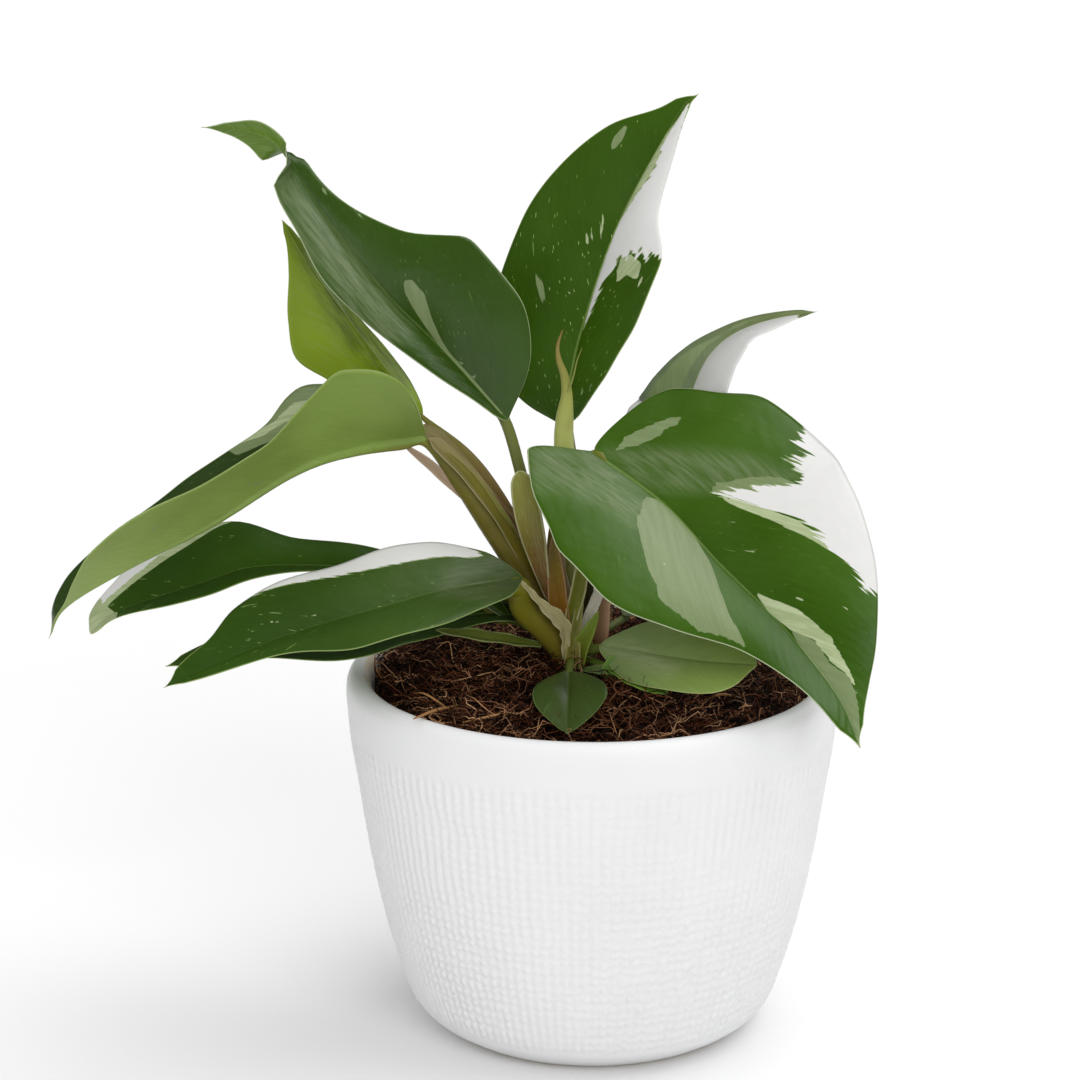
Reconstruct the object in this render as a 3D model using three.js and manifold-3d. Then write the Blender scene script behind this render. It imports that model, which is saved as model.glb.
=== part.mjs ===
// A potted variegated philodendron: a rooted crown, its leaves on their stalks, the young growth
// and dry sheaths round it, the coir it stands in, and a ribbed white pot.
// Millimetres, +Z up, the pot's foot centred on the origin, the plant's best side towards -Y.

import * as THREE from 'three';
import { mergeVertices } from 'three/addons/utils/BufferGeometryUtils.js';
import Module from 'manifold-3d';

const wasm = await Module();
wasm.setup();

// Driving dimensions of the pot and the coir
const POT_HEIGHT = 105;
const POT_RADIUS = 70;
const FOOT_RADIUS = 40;
const FLOOR_THICKNESS = 8;
const RIB_COUNT = 64;
const RIB_DEPTH = 0.6;
const RIBS_START = 10;
const RIBS_END = 84;
const COIR_RADIUS = 61;
const COIR_EDGE_HEIGHT = 97;
const COIR_DOME = 8;
const COIR_RELIEF = 0.8;

// The pot's wall as [radius, height]: the outside up to its widest place, the lip over to the
// inside, and the inside up from the floor
const POT_OUTSIDE = [[FOOT_RADIUS, 0], [44, 1.6], [48.5, 4.6], [51.5, 8], [54, 13], [59.5, 31.5],
  [63.9, 52.5], [67.1, 73.5], [68.8, RIBS_END], [69.6, 93], [POT_RADIUS, 99.5]];
const POT_LIP = [[69.3, 103], [67, POT_HEIGHT], [64.6, 104.2]];
const POT_INSIDE = [[43, FLOOR_THICKNESS], [50, 16], [57.5, 52.5], [61.5, 92], [63, 101.5]];

// Clearances and thicknesses
const GAP = 0.35;
const COIR_GAP = 0.6;
const SOCKET_GAP = 0.4;
const BLADE_THICKNESS = 0.9;
const SHEATH_THICKNESS = 0.8;
const STALK_OVERRUN = 1;

// The share of a stalk's radius that is hollowed where it clasps its blade
const SEAT_DEPTH = 0.4;

// How finely the pieces are divided
const POT_COLUMNS = 2 * RIB_COUNT;
const COIR_COLUMNS = 48;
const COIR_RINGS = 8;
const STALK_SIDES = 8;
const BLADE_ROWS = 12;
const BLADE_HALF_COLUMNS = 3;
const SHEATH_ROWS = 8;
const SHEATH_HALF_COLUMNS = 2;

const COLOURS = { pot: 0xf2f2f0, coir: 0x4a3122, crown: 0x8a7a45, stalk: 0x7d8a3e };
const ROUGHNESS = { pot: 0.45, coir: 0.95, crown: 0.6, stalk: 0.55, blade: 0.35 };

// Where along the midrib, from base to tip, each leaf's half widths are given
const STATIONS = [0, 0.08, 0.2, 0.35, 0.5, 0.65, 0.8, 0.92, 1];

// The crown is the short rooted stem that every leaf stalk grows from
const CROWN = {
  path: [[-4, 5, 84], [-4, 5, 98], [-5, 4, 108], [-6, 4, 117]],
  radii: [6, 6.5, 6, 3.5],
};

// Leaves: midrib points from base to tip, the way the upper face looks (position along the
// midrib, then a direction), half widths left and right of the midrib seen from above with the
// tip away, and how far each half is folded up from the midrib, in degrees, from base to tip.
const LEAVES = {
  upper_left: {
    midrib: [[-24, 8, 175], [-40, 9, 193], [-58, 11, 211], [-76, 14, 234], [-85, 16, 247.5], [-94, 16, 253.5],
      [-109, 14, 257]],
    facing: [[0, 0.35, -0.9, 0.35], [0.7, 0.35, -0.9, 0.3], [0.8, 0.75, -0.6, 0.2], [0.86, 0.7, 0.3, 0.8],
      [0.92, -0.1, 1, 0.4], [1, 0, 1, 0.2]],
    twistLead: 0.045,
    left: [1.5, 4.3, 9.3, 12, 15, 12, 8.5, 5, 0.8],
    right: [2, 17.5, 26.4, 28, 14, 7, 4, 4, 0.8],
    foldLeft: [26, 26, 24, 20, 10, 0],
    foldRight: [26, 26, 24, 20, 10, 0],
    stalk: [[-8.5, 3, 115], [-12.5, 5, 129], [-16.5, 7, 143.5], [-20.5, 8, 160.5]],
    radii: [2.4, 2.2, 1.9, 1.7, 1.6],
    colour: 0x2f5f22,
  },
  upper_back: {
    midrib: [[-8, 14, 172], [-6, 18, 186], [-2, 24, 201], [8, 32, 228], [24, 40, 256], [30, 42, 262]],
    facing: [[0, -0.45, -0.9, 0.3], [1, -0.4, -0.9, 0.3]],
    left: [3, 16, 22, 27, 26, 22, 16, 6, 0.8],
    right: [3, 9, 16.4, 20.6, 22, 12, 7, 3, 0.8],
    foldLeft: [20, 22, 20],
    foldRight: [20, 22, 20],
    stalk: [[-6, 9, 114.5], [-5, 12, 133], [-5, 14, 153]],
    radii: [2.4, 2.2, 1.9, 1.6],
    colour: 0x2c5a1e,
  },
  right_back: {
    midrib: [[12, 22, 163], [20, 26, 172], [30, 30, 181], [40, 37, 190], [50, 42, 195.5], [65, 48, 198]],
    facing: [[0, -0.3, -0.5, 1], [0.5, -0.3, -0.3, 1], [1, -0.2, -0.3, 1]],
    left: [3, 10.6, 12, 12, 9.5, 6, 4, 2.5, 0.8],
    right: [4, 12, 15, 16, 15, 14, 9.7, 3, 0.8],
    foldLeft: [15, 20, 15],
    foldRight: [15, 20, 15],
    stalk: [[-2.5, 7, 113.5], [1.5, 12, 127], [6.5, 18, 143]],
    radii: [2.4, 2.2, 1.8, 1.5],
    colour: 0x7c9468,
  },
  large_right: {
    midrib: [[0, -4, 169], [19, -16, 157.6], [34, -28, 144], [51, -42, 130], [65, -56, 115], [71, -64, 102.6]],
    facing: [[0, 0.2, -0.7, 1], [0.5, 0.3, -1, 0.8], [1, 0.6, -1, 0.5]],
    left: [6, 27, 44, 47, 42.4, 32.6, 18.4, 5, 0.8],
    right: [11, 27, 37.7, 37.6, 27.5, 16, 10.4, 6.7, 0.8],
    foldLeft: [8, 10, 12],
    foldRight: [8, 10, 12],
    lobeLeft: 3,
    lobeRight: 15,
    stalk: [[-5.5, -1, 113], [-8.5, -2, 125.5], [-10.5, -2, 137], [-8.5, -1, 151.5]],
    radii: [3, 2.9, 2.7, 2.4, 2],
    colour: 0x3c7420,
  },
  long_left: {
    midrib: [[-47, 2, 172], [-68, -3, 169], [-84, -8, 164], [-106, -14, 151], [-129, -20, 140],
      [-146, -24, 130], [-151, -25, 121]],
    facing: [[0, -0.1, 0.35, 1], [0.33, -0.1, 0.35, 1], [0.67, -0.3, 0.35, 1], [1, -0.6, 0.3, 0.8]],
    left: [8, 30, 38, 21, 18.5, 19, 16, 5, 0.8],
    right: [5, 20, 30, 19.4, 19.6, 17, 12, 5, 0.8],
    foldLeft: [20, 32, 35, 20],
    foldRight: [40, 55, 55, 30],
    stalk: [[-10, 0, 114], [-19, 1, 132], [-28.5, 2, 147], [-37, 2, 160]],
    radii: [4.4, 4.2, 3.9, 3.4, 2.4],
    colour: 0x5c8540,
  },
  young_left: {
    midrib: [[-48, 8, 176], [-58, 11, 188], [-69, 13, 203], [-79, 15, 217], [-87, 16, 231]],
    facing: [[0, -0.45, 0.8, 0.3], [0.5, -0.45, 0.8, 0.3], [1, -0.4, 0.8, 0.3]],
    left: [2, 6, 10, 12, 10, 8, 6, 3, 0.8],
    right: [2, 5, 10, 15, 19, 14, 6, 2, 0.8],
    foldLeft: [60, 70, 60],
    foldRight: [20, 20, 15],
    stalk: [[-9, 8, 114], [-17.5, 9, 134.5], [-27, 9.5, 152.5], [-36, 9, 165]],
    radii: [2.4, 2.3, 2.1, 1.8, 1.4],
    colour: 0x7d9a2a,
  },
  middle_left: {
    midrib: [[-42, 4, 130], [-60, 6, 131], [-78, 6, 133], [-97, 4, 133], [-111, 2, 129], [-134, -2, 122],
      [-142, -4, 116]],
    facing: [[0, 0, -0.2, 1], [0.5, 0, -0.2, 1], [1, -0.3, -0.2, 1]],
    left: [3, 7, 9, 9, 8, 8, 8, 6, 0.8],
    right: [3, 4, 6, 10, 15, 20, 15, 7, 0.8],
    foldLeft: [5, 8, 8],
    foldRight: [20, 20, 20],
    stalk: [[-11, 5, 116], [-20.5, 7, 122], [-30.5, 7, 125.5]],
    radii: [2.2, 2, 1.7, 1.4],
    colour: 0x335f26,
  },
  low_left: {
    midrib: [[-20, -12, 135], [-40, -20, 134], [-59, -28, 131], [-80, -36, 127], [-97, -42, 122],
      [-117, -50, 115]],
    facing: [[0, 0, -0.3, 1], [0.5, 0, -0.3, 1], [1, -0.2, -0.3, 1]],
    left: [3, 10, 15, 18, 17, 10, 5, 3, 0.8],
    right: [5, 12, 18, 19, 18, 16, 11, 6, 0.8],
    foldLeft: [5, 5, 5],
    foldRight: [18, 18, 18],
    stalk: [[-8.5, -3, 111.5], [-12.5, -6, 119], [-17, -9, 126]],
    radii: [4.6, 4.4, 3.8, 2.4],
    colour: 0x3d6130,
  },
  low_left_under: {
    midrib: [[-31, 2, 120.5], [-54.5, -4, 117.5], [-74, -12, 116.5], [-95.5, -20, 117], [-118.5, -28, 114]],
    facing: [[0, 0, -0.2, 1], [0.5, 0, -0.2, 1], [1, -0.1, -0.2, 1]],
    left: [2, 5, 9, 14, 17, 13, 8, 4, 0.8],
    right: [3, 9, 14, 15, 15, 12, 8, 4, 0.8],
    foldLeft: [8, 8, 8],
    foldRight: [8, 8, 8],
    stalk: [[-11, 1, 111.5], [-20.5, 2, 115.5]],
    radii: [1.8, 1.6, 1.4],
    colour: 0x33582a,
  },
  small_right: {
    midrib: [[2, -8, 114], [16, -18, 116], [29, -28, 115], [44.6, -36, 117]],
    facing: [[0, 0.1, -0.6, 1], [1, 0.1, -0.6, 1]],
    left: [2, 6, 10, 12, 13, 12, 9, 5, 0.8],
    right: [2, 4, 7, 11, 14, 14, 12, 8, 0.8],
    foldLeft: [10, 12, 12],
    foldRight: [10, 12, 12],
    stalk: [[-3.5, -3, 110.5], [-0.5, -6, 112]],
    radii: [1.6, 1.5, 1.2],
    colour: 0x54783f,
  },
  small_right_under: {
    midrib: [[3.4, -13, 110.5], [9.6, -18, 108], [15.6, -22, 106.5], [21.5, -26, 106]],
    facing: [[0, 0.2, -0.5, 1], [1, 0.1, -0.5, 1]],
    left: [1, 2, 3, 3.6, 3.8, 3.4, 2.4, 1.4, 0.6],
    right: [1, 2, 3, 3.6, 3.8, 3.4, 2.4, 1.4, 0.6],
    foldLeft: [10, 12, 12],
    foldRight: [10, 12, 12],
    stalk: [[-2, -3, 108]],
    radii: [1.2, 1],
    colour: 0x4d7a35,
  },
  small_back: {
    midrib: [[2, 10, 114], [8, 16, 118], [15, 22, 121], [24, 28, 122]],
    facing: [[0, -0.1, -0.5, 1], [1, -0.1, -0.4, 1]],
    left: [1, 4, 6, 7, 7, 6, 4, 2, 0.6],
    right: [1, 4, 6, 7, 7, 6, 4, 2, 0.6],
    foldLeft: [10, 12, 12],
    foldRight: [10, 12, 12],
    stalk: [[-2, 8, 110]],
    radii: [1.3, 1.1],
    colour: 0x8fa37f,
  },
  small_front: {
    midrib: [[-7, -28, 112], [-7.2, -39, 107], [-7.5, -49, 100.5]],
    facing: [[0, 0, -0.4, 1], [0.5, 0, -0.6, 1], [1, 0, -0.9, 1]],
    left: [4, 6, 8.5, 10.5, 10.5, 8, 4.5, 2.4, 0.6],
    right: [4, 6, 8, 9, 9.7, 8, 4.6, 2.4, 0.6],
    foldLeft: [10, 12, 12],
    foldRight: [10, 12, 12],
    lobeLeft: 4,
    lobeRight: 4,
    stalk: [[-6, -4, 108.5], [-6.5, -16, 110.5]],
    radii: [1.4, 1.2, 1.1],
    colour: 0x2c5a24,
  },
};

// Sheaths are the boat-shaped scales that wrapped each new leaf
const SHEATHS = {
  sheath_front: {
    midrib: [[-12.5, -6, 126.5], [-15.5, -9, 139], [-18.5, -10, 152.5], [-20.5, -9, 165]],
    facing: [[0, 0.2, 1, 0.2], [1, 0.2, 1, 0.1]],
    left: [1.5, 2.4, 3.4, 4.2, 4.5, 4.4, 3.8, 2.6, 0.8],
    right: [1.5, 2.4, 3.4, 4.2, 4.5, 4.4, 3.8, 2.6, 0.8],
    foldLeft: [30, 25, 20],
    foldRight: [30, 25, 20],
    colour: 0x8a7a4e,
  },
  sheath_long_left: {
    midrib: [[-21, 6, 144], [-26, 6.5, 154], [-34, 6, 166], [-41, 5, 176]],
    facing: [[0, -0.6, 0.5, -0.6], [1, -0.6, 0.5, -0.6]],
    left: [0.8, 1.6, 2.4, 3, 3.4, 3.2, 2.4, 1.4, 0.6],
    right: [0.8, 1.6, 2.4, 3, 3.4, 3.2, 2.4, 1.4, 0.6],
    foldLeft: [25, 25, 20],
    foldRight: [25, 25, 20],
    colour: 0x8c6f55,
  },
  sheath_low_left: {
    midrib: [[-14.5, -6, 113], [-26, -11, 116], [-37.5, -14.5, 119], [-44, -16.5, 121]],
    facing: [[0, 0.1, -0.4, 1], [1, 0.1, -0.4, 1]],
    left: [1.4, 2, 2.6, 3, 3.2, 3, 2.2, 1.4, 0.6],
    right: [1.4, 2, 2.6, 3, 3.2, 3, 2.2, 1.4, 0.6],
    foldLeft: [35, 35, 30],
    foldRight: [35, 35, 30],
    colour: 0x7f9150,
  },
};

// The rolled new leaf stands up from the crown as a slim spike
const SPIKE = {
  path: [[-7, 5, 123], [-7, 5, 147], [-8, 4, 167.5], [-8, 3, 182], [-9, 2, 195.5], [-10, 0, 203]],
  radii: [2, 2.4, 2.6, 2.4, 1.3, 0.4],
  colour: 0x8b9456,
};

// Small vector and curve helpers
function vector(values) {
  return new THREE.Vector3(values[0], values[1], values[2]);
}

function curveThrough(points) {
  return new THREE.CatmullRomCurve3(points.map(vector), false, 'catmullrom', 0.5);
}

// A value that eases from one hand-set step to the next; steps are [position, value...]
function easedSteps(steps, u) {
  let i = 0;
  while (i < steps.length - 2 && u > steps[i + 1][0]) i += 1;
  const [a, b] = [steps[i], steps[i + 1]];
  const t = THREE.MathUtils.clamp((u - a[0]) / (b[0] - a[0]), 0, 1);
  const eased = t * t * (3 - 2 * t);
  return a.slice(1).map((value, k) => THREE.MathUtils.lerp(value, b[k + 1], eased));
}

function evenSteps(values) {
  return values.map((value, i) => [i / (values.length - 1), value]);
}

// A smooth width between the stations that never overshoots its neighbours
function widthAt(widths, u) {
  const n = STATIONS.length;
  const slope = [];
  for (let i = 0; i < n - 1; i += 1) {
    slope.push((widths[i + 1] - widths[i]) / (STATIONS[i + 1] - STATIONS[i]));
  }
  const tangent = (i) => {
    if (i === 0) return slope[0];
    if (i === n - 1) return slope[n - 2];
    const [a, b] = [slope[i - 1], slope[i]];
    return a * b > 0 ? (2 * a * b) / (a + b) : 0;
  };
  let i = 0;
  while (i < n - 2 && u >= STATIONS[i + 1]) i += 1;
  const h = STATIONS[i + 1] - STATIONS[i];
  const t = (u - STATIONS[i]) / h;
  return (1 + 2 * t) * (1 - t) ** 2 * widths[i] + t * (1 - t) ** 2 * h * tangent(i)
    + t * t * (3 - 2 * t) * widths[i + 1] + t * t * (t - 1) * h * tangent(i + 1);
}

// The leaf's own axes at a place on its midrib: along it, out of its upper face, and to its right.
// Where a tip twists over, the left margin turns a little before the midrib and the right one after.
function leafAxes(leaf, curve, u, lead = 0) {
  const along = curve.getTangentAt(u);
  const up = vector(easedSteps(leaf.facing, THREE.MathUtils.clamp(u + lead, 0, 1)));
  up.addScaledVector(along, -up.dot(along)).normalize();
  const right = new THREE.Vector3().crossVectors(along, up);
  return { along, up, right };
}

// The middle surface of a blade as rows of points from the left margin to the right one
function bladeRows(leaf, rows, halfColumns) {
  const curve = curveThrough(leaf.midrib);
  const lobeEnd = 0.3;
  const grid = [];
  for (let i = 0; i <= rows; i += 1) {
    const u = i / rows;
    const centre = curve.getPointAt(u);
    const row = [];
    for (let j = -halfColumns; j <= halfColumns; j += 1) {
      const onLeft = j < 0;
      const across = Math.abs(j) / halfColumns;
      const lead = -Math.sign(j) * across * (leaf.twistLead ?? 0);
      const { along, up, right } = leafAxes(leaf, curve, u, lead);
      const width = widthAt(onLeft ? leaf.left : leaf.right, u) * across;
      const folds = evenSteps(onLeft ? leaf.foldLeft : leaf.foldRight);
      const fold = THREE.MathUtils.degToRad(easedSteps(folds, u)[0]);
      const lobe = (onLeft ? leaf.lobeLeft : leaf.lobeRight) ?? 0;
      const back = lobe * Math.max(0, 1 - u / lobeEnd) ** 1.5 * across ** 1.2;
      row.push(centre.clone()
        .addScaledVector(right, Math.sign(j) * width * Math.cos(fold))
        .addScaledVector(up, width * Math.sin(fold))
        .addScaledVector(along, -back));
    }
    grid.push(row);
  }
  return grid;
}

// A closed solid from rows of points and their opposite face: both faces are split alike
function solidFromFaces(upper, lower) {
  const rows = upper.length;
  const columns = upper[0].length;
  const positions = [];
  for (const face of [upper, lower]) {
    for (const row of face) row.forEach((p) => positions.push(p.x, p.y, p.z));
  }
  const top = (i, j) => i * columns + j;
  const bottom = (i, j) => rows * columns + top(i, j);
  const index = [];
  for (let i = 0; i < rows - 1; i += 1) {
    for (let j = 0; j < columns - 1; j += 1) {
      index.push(top(i, j), top(i, j + 1), top(i + 1, j + 1), top(i, j), top(i + 1, j + 1), top(i + 1, j));
      index.push(bottom(i, j), bottom(i + 1, j + 1), bottom(i, j + 1));
      index.push(bottom(i, j), bottom(i + 1, j), bottom(i + 1, j + 1));
    }
  }
  const rim = [];
  for (let j = 0; j < columns - 1; j += 1) rim.push([0, j]);
  for (let i = 0; i < rows - 1; i += 1) rim.push([i, columns - 1]);
  for (let j = columns - 1; j > 0; j -= 1) rim.push([rows - 1, j]);
  for (let i = rows - 1; i > 0; i -= 1) rim.push([i, 0]);
  rim.forEach(([i, j], k) => {
    const [m, n] = rim[(k + 1) % rim.length];
    index.push(top(i, j), bottom(m, n), top(m, n), top(i, j), bottom(i, j), bottom(m, n));
  });
  const geometry = new THREE.BufferGeometry();
  geometry.setAttribute('position', new THREE.Float32BufferAttribute(positions, 3));
  geometry.setIndex(index);
  return geometry;
}

// A blade or sheath: its middle surface given an even thickness
function bladeSolid(leaf, rows, halfColumns, thickness) {
  const grid = bladeRows(leaf, rows, halfColumns);
  const last = grid[0].length - 1;
  const shifted = (sign) => grid.map((row, i) => row.map((point, j) => {
    const along = grid[Math.min(i + 1, rows)][j].clone().sub(grid[Math.max(i - 1, 0)][j]);
    const across = row[Math.min(j + 1, last)].clone().sub(row[Math.max(j - 1, 0)]);
    const normal = across.cross(along).normalize();
    return point.clone().addScaledVector(normal, (sign * thickness) / 2);
  }));
  return solidFromFaces(shifted(1), shifted(-1));
}

// A closed round bar along a path, with a radius for each of the path's points
function barSolid(path, radii, extra = 0, steps = 3 * (path.length - 1)) {
  const curve = curveThrough(path);
  const reference = new THREE.Vector3(0.3, 1, 0.1);
  const positions = [];
  for (let i = 0; i <= steps; i += 1) {
    const u = i / steps;
    const centre = curve.getPoint(u);
    const along = curve.getTangent(u);
    const side = new THREE.Vector3().crossVectors(along, reference).normalize();
    const other = new THREE.Vector3().crossVectors(along, side);
    const place = u * (radii.length - 1);
    const k = Math.min(Math.floor(place), radii.length - 2);
    const radius = THREE.MathUtils.lerp(radii[k], radii[k + 1], place - k) + extra;
    for (let j = 0; j < STALK_SIDES; j += 1) {
      const angle = (2 * Math.PI * j) / STALK_SIDES;
      const p = centre.clone()
        .addScaledVector(side, radius * Math.cos(angle))
        .addScaledVector(other, radius * Math.sin(angle));
      positions.push(p.x, p.y, p.z);
    }
  }
  const index = [];
  for (let i = 0; i < steps; i += 1) {
    for (let j = 0; j < STALK_SIDES; j += 1) {
      const [a, b] = [i * STALK_SIDES + j, i * STALK_SIDES + ((j + 1) % STALK_SIDES)];
      index.push(a, b, b + STALK_SIDES, a, b + STALK_SIDES, a + STALK_SIDES);
    }
  }
  const end = steps * STALK_SIDES;
  for (let j = 1; j < STALK_SIDES - 1; j += 1) {
    index.push(0, j + 1, j);
    index.push(end, end + j, end + j + 1);
  }
  const geometry = new THREE.BufferGeometry();
  geometry.setAttribute('position', new THREE.Float32BufferAttribute(positions, 3));
  geometry.setIndex(index);
  return geometry;
}

// A closed turned solid from a profile that starts and ends on the axis. The outward offset may
// vary round the axis, which gives the pot its ribs and the coir its rough top.
function turnedSolid(profile, columns, offset) {
  const positions = [];
  const index = [];
  const inner = profile.slice(1, -1);
  inner.forEach(([radius, z], i) => {
    for (let j = 0; j < columns; j += 1) {
      const angle = (2 * Math.PI * j) / columns;
      const [moreRadius, moreHeight] = offset(radius, z, angle, j, i);
      const r = radius + moreRadius;
      positions.push(r * Math.cos(angle), r * Math.sin(angle), z + moreHeight);
    }
  });
  for (let i = 0; i < inner.length - 1; i += 1) {
    for (let j = 0; j < columns; j += 1) {
      const [a, b] = [i * columns + j, i * columns + ((j + 1) % columns)];
      index.push(a, b, b + columns, a, b + columns, a + columns);
    }
  }
  const first = positions.length / 3;
  positions.push(0, 0, profile[0][1]);
  positions.push(0, 0, profile[profile.length - 1][1]);
  const lastRow = (inner.length - 1) * columns;
  for (let j = 0; j < columns; j += 1) {
    const next = (j + 1) % columns;
    index.push(first, next, j);
    index.push(first + 1, lastRow + j, lastRow + next);
  }
  const geometry = new THREE.BufferGeometry();
  geometry.setAttribute('position', new THREE.Float32BufferAttribute(positions, 3));
  geometry.setIndex(index);
  return geometry;
}

// Solids for cutting, and back again
function toSolid(geometry) {
  const bare = geometry.clone();
  for (const name of Object.keys(bare.attributes)) {
    if (name !== 'position') bare.deleteAttribute(name);
  }
  const merged = mergeVertices(bare);
  return new wasm.Manifold(new wasm.Mesh({
    numProp: 3,
    vertProperties: new Float32Array(merged.attributes.position.array),
    triVerts: new Uint32Array(merged.index.array),
  }));
}

function toGeometry(solid) {
  const mesh = solid.getMesh();
  const geometry = new THREE.BufferGeometry();
  geometry.setAttribute('position', new THREE.Float32BufferAttribute(mesh.vertProperties, 3));
  geometry.setIndex(Array.from(mesh.triVerts));
  return geometry;
}

// Cutting can leave a stray scrap, so only the largest body is kept
function largestBody(solid) {
  const bodies = solid.decompose();
  return bodies.reduce((best, body) => (body.volume() > best.volume() ? body : best));
}

function meshOf(name, geometry, colour, roughness) {
  const shaded = geometry.toNonIndexed();
  shaded.computeVertexNormals();
  const material = new THREE.MeshStandardMaterial({ color: colour, roughness, metalness: 0 });
  const mesh = new THREE.Mesh(shaded, material);
  mesh.name = name;
  return mesh;
}

// Pot: a flat foot, a rounded heel, a bellied wall with fine ribs, a plain band and a soft lip
function buildPot() {
  const profile = [[0, 0], ...POT_OUTSIDE, ...POT_LIP, ...[...POT_INSIDE].reverse(), [0, FLOOR_THICKNESS]];
  const ribbed = (radius, z, angle, column, row) => {
    const inRibs = row < POT_OUTSIDE.length && z > RIBS_START && z < RIBS_END;
    return [inRibs && column % 2 === 1 ? -RIB_DEPTH : 0, 0];
  };
  return meshOf('pot', turnedSolid(profile, POT_COLUMNS, ribbed), COLOURS.pot, ROUGHNESS.pot);
}

// Coir: fills the pot, heaped a little round the crown, with a rough top
function coirHeight(radius) {
  return COIR_EDGE_HEIGHT + COIR_DOME * Math.cos((Math.PI / 2) * (radius / COIR_RADIUS));
}

function coirSolid() {
  const wall = POT_INSIDE.filter(([, z]) => z < COIR_EDGE_HEIGHT)
    .map(([radius, z]) => [radius - COIR_GAP, Math.max(z, FLOOR_THICKNESS + GAP)]);
  const top = [];
  for (let ring = 0; ring <= COIR_RINGS; ring += 1) {
    const radius = COIR_RADIUS * (1 - ring / COIR_RINGS);
    top.push([radius, coirHeight(radius)]);
  }
  const rough = (radius, z, angle, column, row) => {
    if (row <= wall.length) return [0, 0];
    const x = radius * Math.cos(angle);
    const y = radius * Math.sin(angle);
    const lumps = Math.sin(0.31 * x + 1.3) * Math.cos(0.37 * y) + 0.7 * Math.sin(0.73 * x - 0.59 * y);
    return [0, COIR_RELIEF * lumps];
  };
  return toSolid(turnedSolid([[0, wall[0][1]], ...wall, ...top], COIR_COLUMNS, rough));
}

// The stalk runs on under the start of the midrib, so that the blade lies in a shallow seat on it
function stalkPath(leaf) {
  const curve = curveThrough(leaf.midrib);
  const drop = leaf.radii[leaf.radii.length - 1] * (1 - SEAT_DEPTH) + BLADE_THICKNESS / 2;
  const { along, up } = leafAxes(leaf, curve, 0);
  const end = curve.getPointAt(0).addScaledVector(up, -drop).addScaledVector(along, STALK_OVERRUN);
  return [...leaf.stalk, end.toArray()];
}

// The assembly: each stalk is hollowed where it clasps the ones placed before it
const plant = new THREE.Group();
plant.add(buildPot());

plant.add(meshOf('crown', barSolid(CROWN.path, CROWN.radii), COLOURS.crown, ROUGHNESS.crown));
let taken = toSolid(barSolid(CROWN.path, CROWN.radii, SOCKET_GAP));

function addFitted(name, solid, swollen, colour) {
  const fitted = largestBody(solid.subtract(taken));
  plant.add(meshOf(name, toGeometry(fitted), colour, ROUGHNESS.stalk));
  taken = taken.add(swollen);
}

for (const [name, leaf] of Object.entries(LEAVES)) {
  const path = stalkPath(leaf);
  const seat = toSolid(bladeSolid(leaf, BLADE_ROWS, BLADE_HALF_COLUMNS, BLADE_THICKNESS + 2 * GAP));
  const solid = toSolid(barSolid(path, leaf.radii)).subtract(seat);
  addFitted(`petiole_${name}`, solid, toSolid(barSolid(path, leaf.radii, GAP)), COLOURS.stalk);
}

addFitted('new_leaf_spike', toSolid(barSolid(SPIKE.path, SPIKE.radii)),
  toSolid(barSolid(SPIKE.path, SPIKE.radii, GAP)), SPIKE.colour);

for (const [name, sheath] of Object.entries(SHEATHS)) {
  const [exact, swollen] = [SHEATH_THICKNESS, SHEATH_THICKNESS + 2 * GAP]
    .map((thickness) => toSolid(bladeSolid(sheath, SHEATH_ROWS, SHEATH_HALF_COLUMNS, thickness)));
  addFitted(name, exact, swollen, sheath.colour);
}

for (const [name, leaf] of Object.entries(LEAVES)) {
  const blade = bladeSolid(leaf, BLADE_ROWS, BLADE_HALF_COLUMNS, BLADE_THICKNESS);
  plant.add(meshOf(`blade_${name}`, blade, leaf.colour, ROUGHNESS.blade));
}

const coir = toGeometry(largestBody(coirSolid().subtract(taken)));
plant.add(meshOf('coir', coir, COLOURS.coir, ROUGHNESS.coir));

export default plant;
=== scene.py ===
# %% [markdown]
# A potted variegated philodendron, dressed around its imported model. The model fixes where every leaf,
# stalk and wall is. This script gives each of them its real surface: waxy blades with white and grey
# sectors, ribbed glaze, and a tangle of coir fibre. Lengths in the tables are millimetres, because that
# is how a plant is measured, and MM turns them into metres.

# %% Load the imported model
import math

import bpy
import numpy as np
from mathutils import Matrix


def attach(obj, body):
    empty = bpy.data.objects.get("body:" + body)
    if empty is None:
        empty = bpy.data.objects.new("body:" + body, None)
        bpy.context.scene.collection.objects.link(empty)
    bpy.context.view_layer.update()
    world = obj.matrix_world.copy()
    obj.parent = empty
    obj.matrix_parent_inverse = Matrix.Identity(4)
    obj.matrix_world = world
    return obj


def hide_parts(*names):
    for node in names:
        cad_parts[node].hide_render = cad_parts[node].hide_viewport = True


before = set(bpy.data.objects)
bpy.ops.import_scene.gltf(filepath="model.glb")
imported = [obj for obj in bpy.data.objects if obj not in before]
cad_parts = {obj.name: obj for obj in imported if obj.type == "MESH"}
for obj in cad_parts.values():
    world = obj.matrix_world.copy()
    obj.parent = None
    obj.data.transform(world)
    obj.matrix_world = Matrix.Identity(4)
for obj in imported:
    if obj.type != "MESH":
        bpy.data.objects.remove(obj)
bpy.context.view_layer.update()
MM = 0.001

# %% [markdown]
# The camera comes first, since everything else is judged through it. The photograph looks down on the pot
# by about 16 degrees from roughly a metre away, with a long lens, so the rim is a flat ellipse and the
# verticals hardly converge.

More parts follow.
